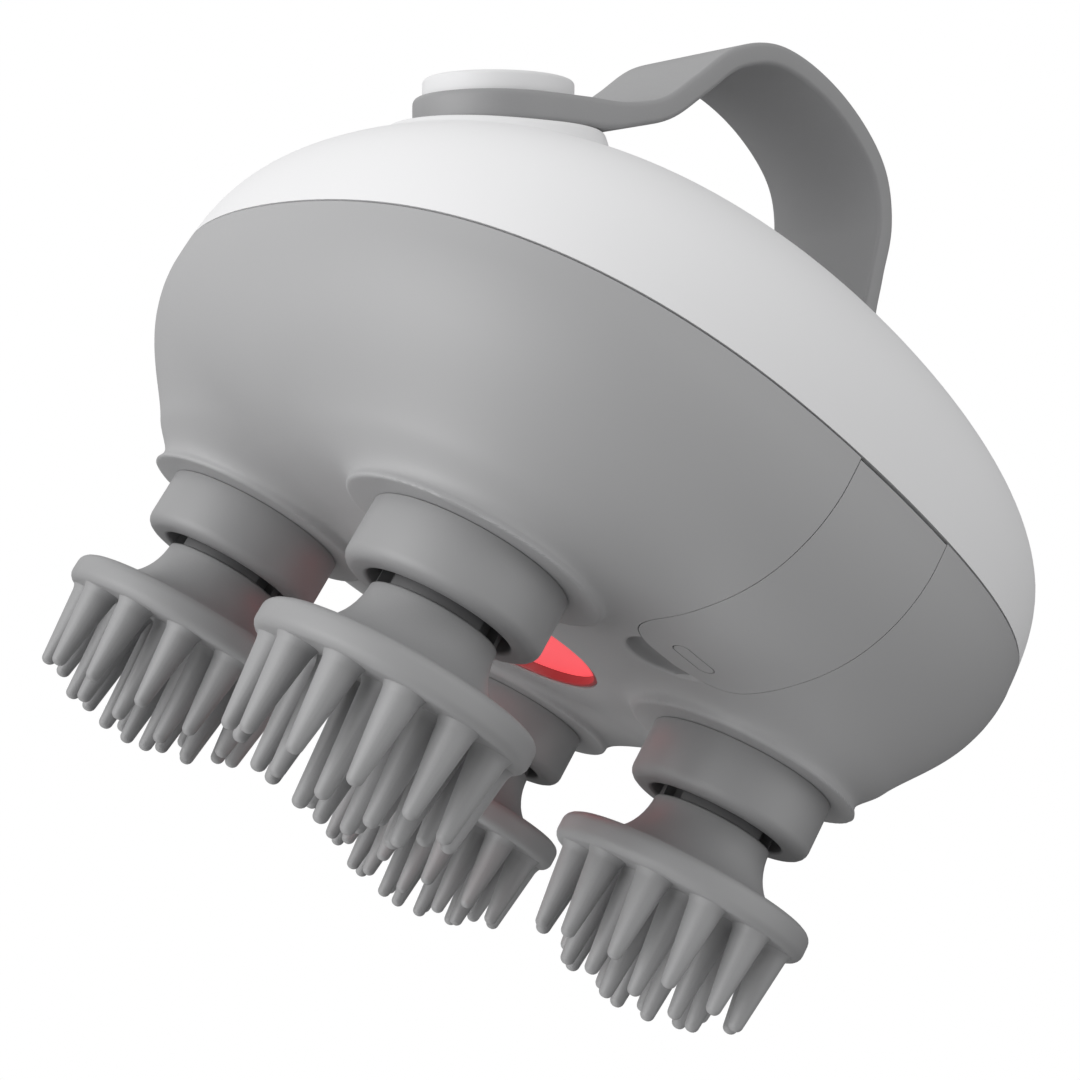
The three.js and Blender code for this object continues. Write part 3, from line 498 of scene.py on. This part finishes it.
def fan(start, end, rows, around, left, right):
    """An outer and an inner fan of directions, joined at their rims. Angles are in degrees."""
    full = right - left >= 360
    shape = bmesh.new()
    ends = []
    for size, steps in ((OUTER_ARC, rows), (INNER_ARC, max(LEAST_ROWS, rows // 3))):
        polar = math.radians(start)
        tip = shape.verts.new((size * math.sin(polar), 0, size * math.cos(polar)))
        arc = bmesh.ops.spin(shape, geom=[tip], cent=(0, 0, 0), axis=(0, 1, 0),
                             angle=math.radians(end - start), steps=steps)
        last = [v for v in arc["geom_last"] if isinstance(v, bmesh.types.BMVert)]
        ends.append((tip, last[0]))
    (outer_start, outer_end), (inner_start, inner_end) = ends
    shape.edges.new((outer_end, inner_end))
    if start > 0:
        shape.edges.new((outer_start, inner_start))
    bmesh.ops.spin(shape, geom=shape.verts[:] + shape.edges[:], cent=(0, 0, 0), axis=(0, 0, 1),
                   angle=math.radians(right - left), steps=around, use_merge=full)
    turn = Matrix.Rotation(math.radians(left), 3, "Z")
    bmesh.ops.rotate(shape, cent=(0, 0, 0), matrix=turn, verts=shape.verts)
    bmesh.ops.remove_doubles(shape, verts=shape.verts, dist=WELD_WAYS)
    if not full:
        open_edges = [e for e in shape.edges if e.is_boundary]
        bmesh.ops.holes_fill(shape, edges=open_edges, sides=0)
    return shape


def shell(field, wall, height, start, end, rows, around, left=-180, right=180):
    """A closed wall, seen from a height on the axis, with polar angles from straight up."""
    shape = fan(start, end, rows, around, left, right)
    ways = np.array([v.co for v in shape.verts])
    length = np.linalg.norm(ways, axis=1)
    ways /= length[:, None]
    centre = np.array((0, 0, height))
    outside = run_out(ways, centre, field)
    inside = run_out(ways, centre, lambda x, y, z: field(x, y, z) + wall)
    for vertex, far, near, size in zip(shape.verts, outside, inside, length):
        vertex.co = far if size > (OUTER_ARC + INNER_ARC) / 2 else near
    bmesh.ops.recalc_face_normals(shape, faces=shape.faces)
    return shape


def refine(shape, field, near):
    """Subdivides the outer faces that near() picks, and settles their vertices."""
    centres = np.array([f.calc_center_median() for f in shape.faces])
    chosen = near(*centres.T) & (np.abs(field(*centres.T)) < SKIN_REACH)
    faces = [f for f, pick in zip(shape.faces, chosen) if pick]
    edges = list(dict.fromkeys(e for f in faces for e in f.edges))
    bmesh.ops.subdivide_edges(shape, edges=edges, cuts=1, use_grid_fill=True)
    points = np.array([v.co for v in shape.verts])
    mine = near(*points.T) & (np.abs(field(*points.T)) < SKIN_REACH)
    points[mine] = settle(points[mine], field)
    for vertex, point, pick in zip(shape.verts, points, mine):
        if pick:
            vertex.co = point


print("shell maker ready")

# %% [markdown]
# The lower casing's formula is the body's, cut flat under the legs with a soft edge, with a finger
# recess scooped out beside the port cover. A rounded drum taken away with a narrow soft edge leaves
# the same crescent as the real one, because the cover hides its other half. Two more functions say
# where the shell has to be finer: in the recess, and along the legs' rims.

# %% The lower casing's formula
NICK_CENTRE, NICK_SIZE, NICK_POWER = (0.8, -33.6, 37.9), (4.9, 5.6, 2.5), 4
BOSS_EDGE, NICK_EDGE = 0.85, 0.3
NEAR_NICK, NICK_CEILING = 1.3, 44
RIM_INSIDE, RIM_OUTSIDE, NEAR_RIM = 14.8, 18.5, 1.3
LENS_OPENING, SPARE = 15.5, 2.5  # the shell reaches in by the spare, which is then cut off


def nick_reach(x, y):
    """1 on the recess's outline, seen from below."""
    return np.hypot((x - NICK_CENTRE[0]) / NICK_SIZE[0], (y - NICK_CENTRE[1]) / NICK_SIZE[1])


def casing_field(x, y, z):
    skin = soft_max(body_field(x, y, z), BOSS - z, BOSS_EDGE)
    depth = np.abs(z - NICK_CENTRE[2]) / NICK_SIZE[2]
    reach = (nick_reach(x, y) ** NICK_POWER + depth ** NICK_POWER) ** (1 / NICK_POWER)
    nick = (reach - 1) * NICK_SIZE[2]
    return soft_max(skin, -nick, NICK_EDGE)


def near_nick(x, y, z):
    return (nick_reach(x, y) < NEAR_NICK) & (z < NICK_CEILING)


def near_rim(x, y, z):
    radius = leg_distance(x, y)
    return (radius > RIM_INSIDE) & (radius < RIM_OUTSIDE) & (z < BOSS + NEAR_RIM)


floor_drop = BOWL_RIM - (WIDEST - BOWL_DROP - LENS_SWELL)
opening_polar = 180 - math.degrees(math.atan2(LENS_OPENING - SPARE, floor_drop))
print("the casing's shell ends", round(opening_polar, 1), "degrees from straight up")

# %% [markdown]
# The port cover and its pocket have one outline, seen from below: two straight sides from the seam
# and a single soft arc at the inner end. As a prism it is both the knife for the pocket and, a hair
# smaller, the shape that the cover is trimmed to, so the line between them is even all the way.

# %% The port cover's outline
COVER_HALF, COVER_INNER, COVER_OUTER, COVER_CORNER = 8.93, -33.62, -75, 7.5


def cover_prism(grow, low, high):
    half, inner = COVER_HALF + grow, COVER_INNER + grow
    shape = bmesh.new()
    corners = [(-half, COVER_OUTER), (half, COVER_OUTER), (half, inner), (-half, inner)]
    face = shape.faces.new([shape.verts.new((x, y, low)) for x, y in corners])
    inner_corners = [v for v in face.verts if v.co.y > COVER_OUTER]
    bmesh.ops.bevel(shape, geom=inner_corners, offset=COVER_CORNER + grow, segments=14,
                    profile=0.5, affect="VERTICES", material=-1)
    raised(shape, high - low)
    bmesh.ops.recalc_face_normals(shape, faces=shape.faces)
    return shape


print("cover is", 2 * COVER_HALF, "mm wide")

# %% [markdown]
# The lower casing is cut by its pocket, by the lens opening and by the four holes that the collars
# plug into. A second, smaller shell behind the pocket is its floor, with the slot for the charging
# socket.

# %% Lower casing
HEADS = [(-HEAD_SPACING, HEAD_SPACING), (-HEAD_SPACING, -HEAD_SPACING),
         (HEAD_SPACING, HEAD_SPACING), (HEAD_SPACING, -HEAD_SPACING)]  # in the CAD's order
CASING_WALL, SPIGOT_HOLE, COVER_GAP = 2.0, 11.1, 0.13
HOLE_BOTTOM, SPIGOT_TOP, LENS_TOP = 33, 40, 42
PRISM_BOTTOM, PRISM_TOP = 30, 66
POCKET_DEPTH, SOCKET_SLOT, SOCKET_SPOT = 2.05, (9.6, 3.9, 30), (0, -39.2, 45)


def block(size, centre):
    shape = bmesh.new()
    bmesh.ops.create_cube(shape, size=1)
    bmesh.ops.scale(shape, vec=size, verts=shape.verts)
    bmesh.ops.translate(shape, vec=centre, verts=shape.verts)
    return shape


def pocket_field(x, y, z):
    return body_field(x, y, z) + POCKET_DEPTH


def pocket_floor():
    floor = shell(pocket_field, CASING_WALL, BOWL_RIM, start=95, end=124, rows=40, around=40,
                  left=-112, right=-68)
    return carved(floor, block(SOCKET_SLOT, SOCKET_SPOT))


def lower_casing():
    casing = shell(casing_field, CASING_WALL, BOWL_RIM, start=90, end=opening_polar,
                   rows=110, around=240)
    for near in (near_rim, near_rim, near_nick, near_nick):
        refine(casing, casing_field, near)
    holes = [post(SPIGOT_HOLE, HOLE_BOTTOM, SPIGOT_TOP, x, y) for x, y in HEADS]
    holes.append(post(LENS_OPENING, HOLE_BOTTOM, LENS_TOP))
    casing = carved(casing, joined(cover_prism(COVER_GAP, PRISM_BOTTOM, PRISM_TOP), *holes))
    return joined(casing, pocket_floor())


finished(lower_casing(), "lower_casing", grey_shell, "housing", "bottom_shell")

# %% [markdown]
# The port cover is a piece of the same skin, trimmed by the prism. A capsule-shaped line is
# engraved in it: the outline inset into a ring, whose upper side follows the skin at a constant
# depth. Its hinge barrel and pintles sit just under the seam.

# %% Port cover
COVER_WALL, COVER_TOP = 1.7, 61.85
HINGE, BARREL, PINTLES = (0, -58.38, 60.125), (1, 8.9), (0.6, 10)  # rods: radius, half length
LINE_CENTRE, LINE_LENGTH, LINE_WIDTH = (0.85, -38.4), 7.0, 2.5
LINE_THICKNESS, LINE_DEPTH, LINE_OUTSIDE, LINE_STEPS = 0.18, 0.3, 1.0, 34


def flat_disc(radius, segments):
    """A disc, turned by half a step so that none of its corners is on the Y axis."""
    shape = bmesh.new()
    bmesh.ops.create_circle(shape, cap_ends=True, radius=radius, segments=segments)
    half_step = Matrix.Rotation(math.radians(180 / segments), 3, "Z")
    bmesh.ops.rotate(shape, cent=(0, 0, 0), matrix=half_step, verts=shape.verts)
    return shape


def underside(x, y, depth, low=30.0, high=50.0, halvings=30):
    """Height at which the body is depth millimetres inside its lower skin."""
    for _ in range(halvings):
        middle = (low + high) / 2
        if body_field(np.array(x), np.array(y), np.array(middle)) > -depth:
            low = middle
        else:
            high = middle
    return low


def capsule_line():
    """The knife for the line, from outside the cover to the line's depth."""
    shape = flat_disc(LINE_WIDTH / 2, LINE_STEPS)
    for vertex in shape.verts:
        vertex.co.x += math.copysign((LINE_LENGTH - LINE_WIDTH) / 2, vertex.co.x)
    middle = bmesh.ops.inset_region(shape, faces=shape.faces[:], thickness=LINE_THICKNESS,
                                    use_boundary=True)
    inner = [f for f in shape.faces if f not in middle["faces"]]
    bmesh.ops.delete(shape, geom=inner, context="FACES_ONLY")
    top = set(raised(shape, 0))
    for vertex in shape.verts:
        vertex.co.x += LINE_CENTRE[0]
        vertex.co.y += LINE_CENTRE[1]
        depth = LINE_DEPTH if vertex in top else -LINE_OUTSIDE
        vertex.co.z = underside(vertex.co.x, vertex.co.y, depth)
    bmesh.ops.recalc_face_normals(shape, faces=shape.faces)
    return shape


def hinge_rod(radius, half_length):
    upright = post(radius, -half_length, half_length, segments=24)
    across = moved(upright, Matrix.Rotation(math.pi / 2, 4, "Y"))
    return moved(across, Matrix.Translation(HINGE))


def port_cover():
    plate = shell(body_field, COVER_WALL, BOWL_RIM, start=88.5, end=131, rows=90, around=60,
                  left=-113, right=-67)
    plate = carved(plate, cover_prism(0, PRISM_BOTTOM, COVER_TOP), "INTERSECT")
    plate = carved(plate, capsule_line())
    return joined(plate, hinge_rod(*BARREL), hinge_rod(*PINTLES))


finished(port_cover(), "socket_cover", grey_shell, "cover", "port_cover")

# %% [markdown]
# The dome carries a round pedestal on each shoulder, tilted 35 degrees. In the formula a pedestal
# is a frustum, joined to the dome with a soft hollow. The shell's faces are too wide for the
# pedestal's edge, so the faces near it are refined twice.

# %% Dome
SIDES = (-1, 1)
CAP_TILT, CAP_X, CAP_Z = math.radians(35), 39.0, 91.8
PEDESTAL_RADIUS, PEDESTAL_SLOPE, PEDESTAL_FACE = 13.9, 0.344, -0.6
PEDESTAL_EDGE, PEDESTAL_HOLLOW, MARGINS = 0.8, 3.0, (2.6, 1.5)
DOME_WALL, STEM_HOLE, HOLE_LOW, HOLE_HIGH = 2.2, 8.5, -14, 3


def cap_place(x, z, side):
    """A point's place along and out of a pedestal's face."""
    tilt = side * CAP_TILT
    along = (x - side * CAP_X) * math.cos(tilt) - (z - CAP_Z) * math.sin(tilt)
    out = (x - side * CAP_X) * math.sin(tilt) + (z - CAP_Z) * math.cos(tilt)
    return along, out


def cap_matrix(side):
    return Matrix.Translation((side * CAP_X, 0, CAP_Z)) @ Matrix.Rotation(side * CAP_TILT, 4, "Y")


def dome_field(x, y, z):
    skin = body_field(x, y, z)
    for side in SIDES:
        along, out = cap_place(x, z, side)
        cone = np.hypot(along, y) - PEDESTAL_RADIUS + PEDESTAL_SLOPE * out
        cone = cone * math.cos(math.atan(PEDESTAL_SLOPE))
        pedestal = soft_max(cone, out - PEDESTAL_FACE, PEDESTAL_EDGE)
        skin = soft_min(skin, pedestal, PEDESTAL_HOLLOW)
    return skin


def near_pedestal(margin):
    def near(x, y, z):
        close = np.zeros(len(x), bool)
        for side in SIDES:
            along, out = cap_place(x, z, side)
            off_edge = np.abs(np.hypot(along, y) - PEDESTAL_RADIUS)
            close |= (off_edge < margin) & (np.abs(out - PEDESTAL_FACE) < margin)
        return close
    return near


def dome():
    cover = shell(dome_field, DOME_WALL, DOME_RIM, start=0, end=90, rows=100, around=240)
    for margin in MARGINS:
        refine(cover, dome_field, near_pedestal(margin))
    holes = [moved(post(STEM_HOLE, HOLE_LOW, HOLE_HIGH), cap_matrix(side)) for side in SIDES]
    return carved(cover, joined(*holes))


finished(dome(), "dome", white_shell, "housing", "top_shell")

# %% [markdown]
# The strap is a flat band with round ends, bent over the dome. Its middle line starts straight on
# each pedestal and goes smoothly through the points that the photograph gives. A spline object
# would do for that, but the same curve worked out here also says how far along it each point is.

# %% Strap line
STRAP_LIFT, STRAP_STRAIGHT = 1.9, 6.8
STRAP_POINTS = [(-29.2, 100.9), (-24.4, 105.9), (-21.5, 112.6), (-18.5, 119.8), (-12.4, 125.4),
                (0, 127.8)]


def between(first, second, t, t_first, t_second):
    return first + (second - first) * (t - t_first) / (t_second - t_first)


def strap_line(samples=60):
    """Points of a centripetal Catmull-Rom curve, and how far along it they are."""
    start = cap_matrix(-1) @ Vector((0, 0, STRAP_LIFT))
    next_one = cap_matrix(-1) @ Vector((STRAP_STRAIGHT, 0, STRAP_LIFT))
    half = [(start.x, start.z), (next_one.x, next_one.z), *STRAP_POINTS]
    knots = np.array(half + [(-x, z) for x, z in reversed(half[:-1])])
    knots = np.vstack([2 * knots[0] - knots[1], knots, 2 * knots[-1] - knots[-2]])
    line = []
    for a, b, c, d in zip(knots, knots[1:], knots[2:], knots[3:]):
        t = np.cumsum([0] + [np.linalg.norm(q - p) ** 0.5 for p, q in ((a, b), (b, c), (c, d))])
        for s in np.linspace(t[1], t[2], samples, endpoint=False):
            ab = between(a, b, s, t[0], t[1])
            bc = between(b, c, s, t[1], t[2])
            cd = between(c, d, s, t[2], t[3])
            abc = between(ab, bc, s, t[0], t[2])
            bcd = between(bc, cd, s, t[1], t[3])
            line.append(between(abc, bcd, s, t[1], t[2]))
    line = np.array([*line, knots[-2]])
    steps = np.linalg.norm(np.diff(line, axis=0), axis=1)
    return line, np.concatenate([[0], np.cumsum(steps)])


line, along = strap_line()
print("strap line:", round(float(along[-1]), 1), "mm between the caps")

# %% [markdown]
# It is easiest to make the strap flat: a disc pulled apart, extruded to its thickness, with
# bevelled edges and cross cuts for the bending. Then each vertex goes to its place along the line.
# The underside is let down a little at the ends, where the strap is thicker and rests on its
# pedestals, and a stepped hole takes each cap.

# %% Strap
STRAP_HALF, STRAP_THICKNESS, STRAP_ROUNDING, STRAP_STEPS = 11.4, 3.1, 0.7, 70
END_THICKENING, THICK_UNTIL, THIN_FROM = 0.8, 8, 17
LEVEL = 1e-6


def flat_strap(length, cuts=150):
    shape = flat_disc(STRAP_HALF, STRAP_STEPS)
    far_half = [v for v in shape.verts if v.co.x > 0]
    bmesh.ops.translate(shape, vec=(length, 0, 0), verts=far_half)
    bmesh.ops.translate(shape, vec=(0, 0, -STRAP_THICKNESS / 2), verts=shape.verts)
    raised(shape, STRAP_THICKNESS)
    bmesh.ops.recalc_face_normals(shape, faces=shape.faces)
    rims = [e for e in shape.edges if abs(e.verts[0].co.z - e.verts[1].co.z) < LEVEL]
    rounded(shape, rims, STRAP_ROUNDING)
    for i in range(cuts + 1):
        bmesh.ops.bisect_plane(shape, geom=shape.verts[:] + shape.edges[:] + shape.faces[:],
                               plane_co=(length * i / cuts, 0, 0), plane_no=(1, 0, 0))
    return shape


def bent(shape, line, along):
    flat = np.array([v.co for v in shape.verts])
    from_end = np.minimum(flat[:, 0], along[-1] - flat[:, 0])
    below = np.clip(0.5 - flat[:, 2] / STRAP_THICKNESS, 0, 1)
    flat[:, 2] -= END_THICKENING * below * (1 - ramp(from_end, THICK_UNTIL, THIN_FROM))
    way = np.gradient(line, along, axis=0)
    way /= np.linalg.norm(way, axis=1)[:, None]
    place = np.clip(flat[:, 0], 0, along[-1])
    x, z, tx, tz = (np.interp(place, along, column) for column in (*line.T, *way.T))
    past = flat[:, 0] - place
    x, z = x + tx * past - tz * flat[:, 2], z + tz * past + tx * flat[:, 2]
    for vertex, *spot in zip(shape.verts, x, flat[:, 1], z):
        vertex.co = spot
    return shape


def cap_hollow(side):
    """The stepped hole under a cap."""
    profile = [(0, -4, 0), (8.5, -4, 0), (8.5, 1.6, 0), (10.3, 1.6, 0), (10.3, 8, 0), (0, 8, 0)]
    return moved(turned(profile), cap_matrix(side))


strap = carved(bent(flat_strap(along[-1]), line, along), joined(*map(cap_hollow, SIDES)))
finished(strap, "finger_strap", strap_silicone, "housing", "strap", sharp=50)

# %% [markdown]
# The push button and the fixed cap at the other end look alike from outside. The button also has
# the stem, catch and plunger that reach the switch, because it moves.

# %% Caps
button = [(0, -6.1, 0), (1.5, -6.1, 0), (1.5, -5.4, 0), (7.1, -5.4, 0), (7.1, -4.5, 0),
          (6.1, -4.5, 0), (6.1, 3.25, 0), (10.1, 3.25, 0), (10.1, 6.0, 0.55), (0, 6.0, 0)]
far_cap = [(0, -4.2, 0), (8.2, -4.2, 0), (8.2, 1.7, 0), (10.1, 1.7, 0), (10.1, 6.0, 0.55),
           (0, 6.0, 0)]
near_end = moved(turned(button, FINE), cap_matrix(-1))
far_end = moved(turned(far_cap, FINE), cap_matrix(1))
finished(near_end, "push_button", white_button, "button", "power_button")
finished(far_end, "far_cap", white_button, "housing", "strap_cap")

# %% [markdown]
# A collar is a straight ring under the leg. Its lower lip is well rounded on both sides of the
# bore, and its spigot goes up into the leg. The four are alike, so one is turned at the origin and
# a copy of it goes under each leg, as the heads and their crowns do later.

# %% Collars
def under_each_leg(pattern, name, finish, node, body="head_{}", sharp=SHARP_ANGLE):
    """Four copies of a pattern, with their numbers in the names of piece, node and body."""
    for number, (x, y) in enumerate(HEADS, 1):
        copy = moved(pattern.copy(), Matrix.Translation((x, y, 0)))
        finished(copy, f"{name}_{number}", finish, body.format(number), f"{node}_{number}",
                 sharp=sharp)
    pattern.free()


collar = [(12.8, 35.24, 0.08), (12.8, 27.15, 1.6), (9.4, 27.15, 0.5), (9.4, 36.0, 0),
          (5.9, 36.0, 0), (5.9, 37.9, 0), (10.8, 37.9, 0), (10.8, 35.24, 0)]
collar_ring = turned(collar, FINE, closed=True)
under_each_leg(collar_ring, "collar_ring", shaded_grey_collar, "collar", body="housing")

# %% [markdown]
# A massage head is a waisted cup with 24 fingers in three rings, shorter towards the outside. Each
# finger is a turned cone with a round tip and a small fillet at its foot. They are joined into one
# mesh with the cup, as they are in one piece of silicone.

# %% Massage heads
DISC_RADIUS, DISC_TOP, DISC_BOTTOM, DISC_ROUNDING = 17.7, 19.05, 15.15, 1.3
NECK_RADIUS, NECK_TOP, SHELF = 8.28, 26.4, 14.0
BORE_RADIUS, BORE_FLOOR = 6.3, 18.45
FINGER_TIP, FINGER_FOOT, FINGER_STEPS = 0.88, 2.3, 20
FINGER_RINGS = [(12, 14.1, 3.8, 2), (9, 9.0, 1.4, 30), (3, 3.5, 0, 60)]  # count, radius, tip, turn


def waist(steps=12):
    """Quarter of an ellipse from the neck's top out to the disc's shelf."""
    angles = [math.pi / 2 * i / steps for i in range(steps + 1)]
    return [(SHELF - (SHELF - NECK_RADIUS) * math.cos(a),
             NECK_TOP - (NECK_TOP - DISC_TOP) * math.sin(a), 0) for a in angles]


def finger_at(radius, degrees, tip):
    profile = [(0, tip, 0), (FINGER_TIP, tip, 0.78), (FINGER_FOOT, DISC_BOTTOM - 0.4, 0.6),
               (2.8, DISC_BOTTOM + 0.3, 0), (2.9, DISC_BOTTOM + 1.5, 0), (0, DISC_BOTTOM + 1.5, 0)]
    angle = math.radians(degrees)
    place = Matrix.Translation((radius * math.cos(angle), radius * math.sin(angle), 0))
    return moved(turned(profile, FINGER_STEPS), place)


def massage_head():
    cup = [(0, BORE_FLOOR, 0), (BORE_RADIUS, BORE_FLOOR, 0), (BORE_RADIUS, NECK_TOP, 0.2),
           (NECK_RADIUS - 0.01, NECK_TOP + 0.001, 0.3), *waist()[1:],
           (DISC_RADIUS, DISC_TOP, DISC_ROUNDING), (DISC_RADIUS, DISC_BOTTOM, DISC_ROUNDING),
           (0, DISC_BOTTOM, 0)]
    fingers = [finger_at(radius, turn + 360 * i / count, tip)
               for count, radius, tip, turn in FINGER_RINGS for i in range(count)]
    return joined(turned(cup, FINE), *fingers)


under_each_leg(massage_head(), "silicone_head", head_silicone, "massage_head", sharp=45)

# %% [markdown]
# Inside each collar the head's stiff core shows its crown, with three slots that let it clip on its
# spindle. The slots are cut from the turned ring with blocks.

# %% Head crowns
SLOTS, SLOT_SIZE, SLOT_SPOT, SLOT_TURN = 3, (3.4, 3.9, 5), (7.9, 0, 28.9), 52


def head_crown():
    profile = [(3.15, 18.75, 0), (6, 18.75, 0), (6, 26.45, 0), (7.9, 26.45, 0),
               (7.9, 32.4, 0.3), (3.15, 32.4, 0)]
    turns = [math.radians(SLOT_TURN + 360 / SLOTS * i) for i in range(SLOTS)]
    slots = [moved(block(SLOT_SIZE, SLOT_SPOT), Matrix.Rotation(turn, 4, "Z")) for turn in turns]
    return carved(turned(profile, 64, closed=True), joined(*slots))


under_each_leg(head_crown(), "head_crown", hub_plastic, "head_hub")

# %% [markdown]
# The lens glows by itself, evenly and softly, with a fine frosting in the plastic. A light behind a
# clear lens would be closer to how it works, but an emission colour gives the same even red from
# all sides. The rim round it is the same plastic without the light behind it, so it glows far less,
# and its darker red is painted shade for the shade on its wall.

# %% Lens
LENS_STEPS = 120


def glowing_red(name, colour, strength):
    finish = Finish(name, colour, 0.35)
    frost = finish.noise(0.8, 3.0)
    finish.set("Emission Color", finish.mix(frost, tone(238, 84, 92), tone(255, 98, 106)))
    finish.set("Emission Strength", strength)
    finish.grain(frost, 0.02)
    return finish


red_lens = glowing_red("red_lens", tone(250, 92, 98), 0.58)
disc = [(0, 38.1, 0), (15.2, 38.1, 0.3), (15.2, 39.0, 0), (17.1, 39.0, 0), (17.1, 40.1, 0),
        (0, 40.1, 0)]
finished(turned(disc, LENS_STEPS), "lens_disc", red_lens, "housing", "lens")
# painted shade: the rim's darker red stands for the shade on its wall, not a darker plastic
shaded_red_rim = glowing_red("shaded_red_rim", tone(142, 50, 52), 0.04)
shaded_red_rim.slot = red_lens.slot
rim = [(14.8, 38.15, 0), (14.8, 36.7, 0.2), (15.4, 36.7, 0.2), (15.4, 38.15, 0)]
finished(turned(rim, LENS_STEPS, closed=True), "lens_rim", shaded_red_rim, "housing", "lens")

# %% [markdown]
# What stays from the CAD model is hidden inside, so its shapes are right as they are. Each solid
# gets the finish of its material.

# %% Inner parts
INNER = {
    "drive_gear": acetal, "head_gear": acetal, "motor_pinion": acetal, "gear_plate": acetal,
    "drive_axle": steel, "spindle": steel, "motor_shaft": steel, "gear_motor": steel,
    "plate_screw": steel, "usb_socket": steel, "bushing": bronze, "switch_board": circuit_board,
    "led_board": circuit_board, "usb_board": circuit_board, "main_board": circuit_board,
    "battery": cell_wrap, "seal": dark_rubber, "strap_sleeve": grey_shell,
}
dressed = 0
for name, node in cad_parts.items():
    kind = name.rstrip("0123456789").rstrip("_")
    if kind in INNER:
        for slot in node.material_slots:
            slot.material = INNER[kind].material
        dressed += 1
print("inner solids dressed:", dressed)

# %% [markdown]
# The photograph's object floats on white, seen from below. The floor therefore shows only from
# above, where it takes the object's shadow, and it never blocks the light. The camera sees a white
# world. All other light comes from nine soft boxes in the world's sky, the strongest low on the
# left: each is a lobe, brightest in its middle, and together they shade the legs as the photograph
# does, with no lamp to hide.

# %% Floor and light
FLOOR_HALF = 3  # metres
SOFT_BOXES = [
    ((-0.94, 0.04, -0.35), 3.3),    # key, low on the left
    ((0.05, -0.59, 0.81), 1.37),    # above the near side
    ((0.42, -0.89, 0.19), 1.12),    # beside the camera
    ((0.23, 0.40, -0.88), 1.03),    # from the ground
    ((-0.22, 0.84, 0.50), 0.72),    # behind
    ((-0.34, 0.31, 0.88), 0.66),    # top
    ((-0.89, 0.37, 0.27), 0.51),    # left fill
    ((-0.26, -0.08, -0.96), 0.47),  # under the legs
    ((0.75, 0.0, 0.10), 0.30),      # right fill
]
BOX_FOCUS = 7.0


def pale_floor():
    shape = bmesh.new()
    bmesh.ops.create_grid(shape, x_segments=2, y_segments=2, size=FLOOR_HALF)
    floor = loose(shape, "floor")
    material = bpy.data.materials.new("pale_floor")
    material.use_nodes = True
    nodes = Nodes(material.node_tree)
    nodes.tree.nodes.remove(nodes.tree.nodes["Principled BSDF"])
    from_camera = nodes.node("ShaderNodeLightPath", {}, [], output="Is Camera Ray")
    from_below = nodes.node("ShaderNodeNewGeometry", {}, [], output="Backfacing")
    clear = nodes.node("ShaderNodeBsdfTransparent", {}, [])
    matt = nodes.node("ShaderNodeBsdfDiffuse", {}, {"Color": tone(247, 247, 247)})
    shown = nodes.node("ShaderNodeMixShader", {}, [from_camera * (1 - from_below), clear, matt])
    nodes.feed(nodes.tree.nodes["Material Output"].inputs["Surface"], shown)
    floor.data.materials.append(material)


def studio_world():
    world = bpy.data.worlds.new("studio")
    bpy.context.scene.world = world
    world.use_nodes = True
    nodes = Nodes(world.node_tree)
    way = nodes.node("ShaderNodeTexCoord", {}, [], output="Generated")
    light = 0.0
    for towards, strength in SOFT_BOXES:
        lean = nodes.node("ShaderNodeVectorMath", {"operation": "DOT_PRODUCT"}, [way, towards],
                          output="Value")
        lobe = nodes.node("ShaderNodeMath", {"operation": "EXPONENT"}, [(lean - 1.0) * BOX_FOCUS])
        light = lobe * strength + light
    seen = nodes.node("ShaderNodeLightPath", {}, [], output="Is Camera Ray")
    shown = nodes.node("ShaderNodeMix", {"data_type": "FLOAT"}, {0: seen, 2: light, 3: 1.0})
    nodes.feed(nodes.tree.nodes["Background"].inputs["Color"], shown)


pale_floor()
studio_world()
bpy.context.scene.view_settings.view_transform = "Standard"
print("stage and light ready")
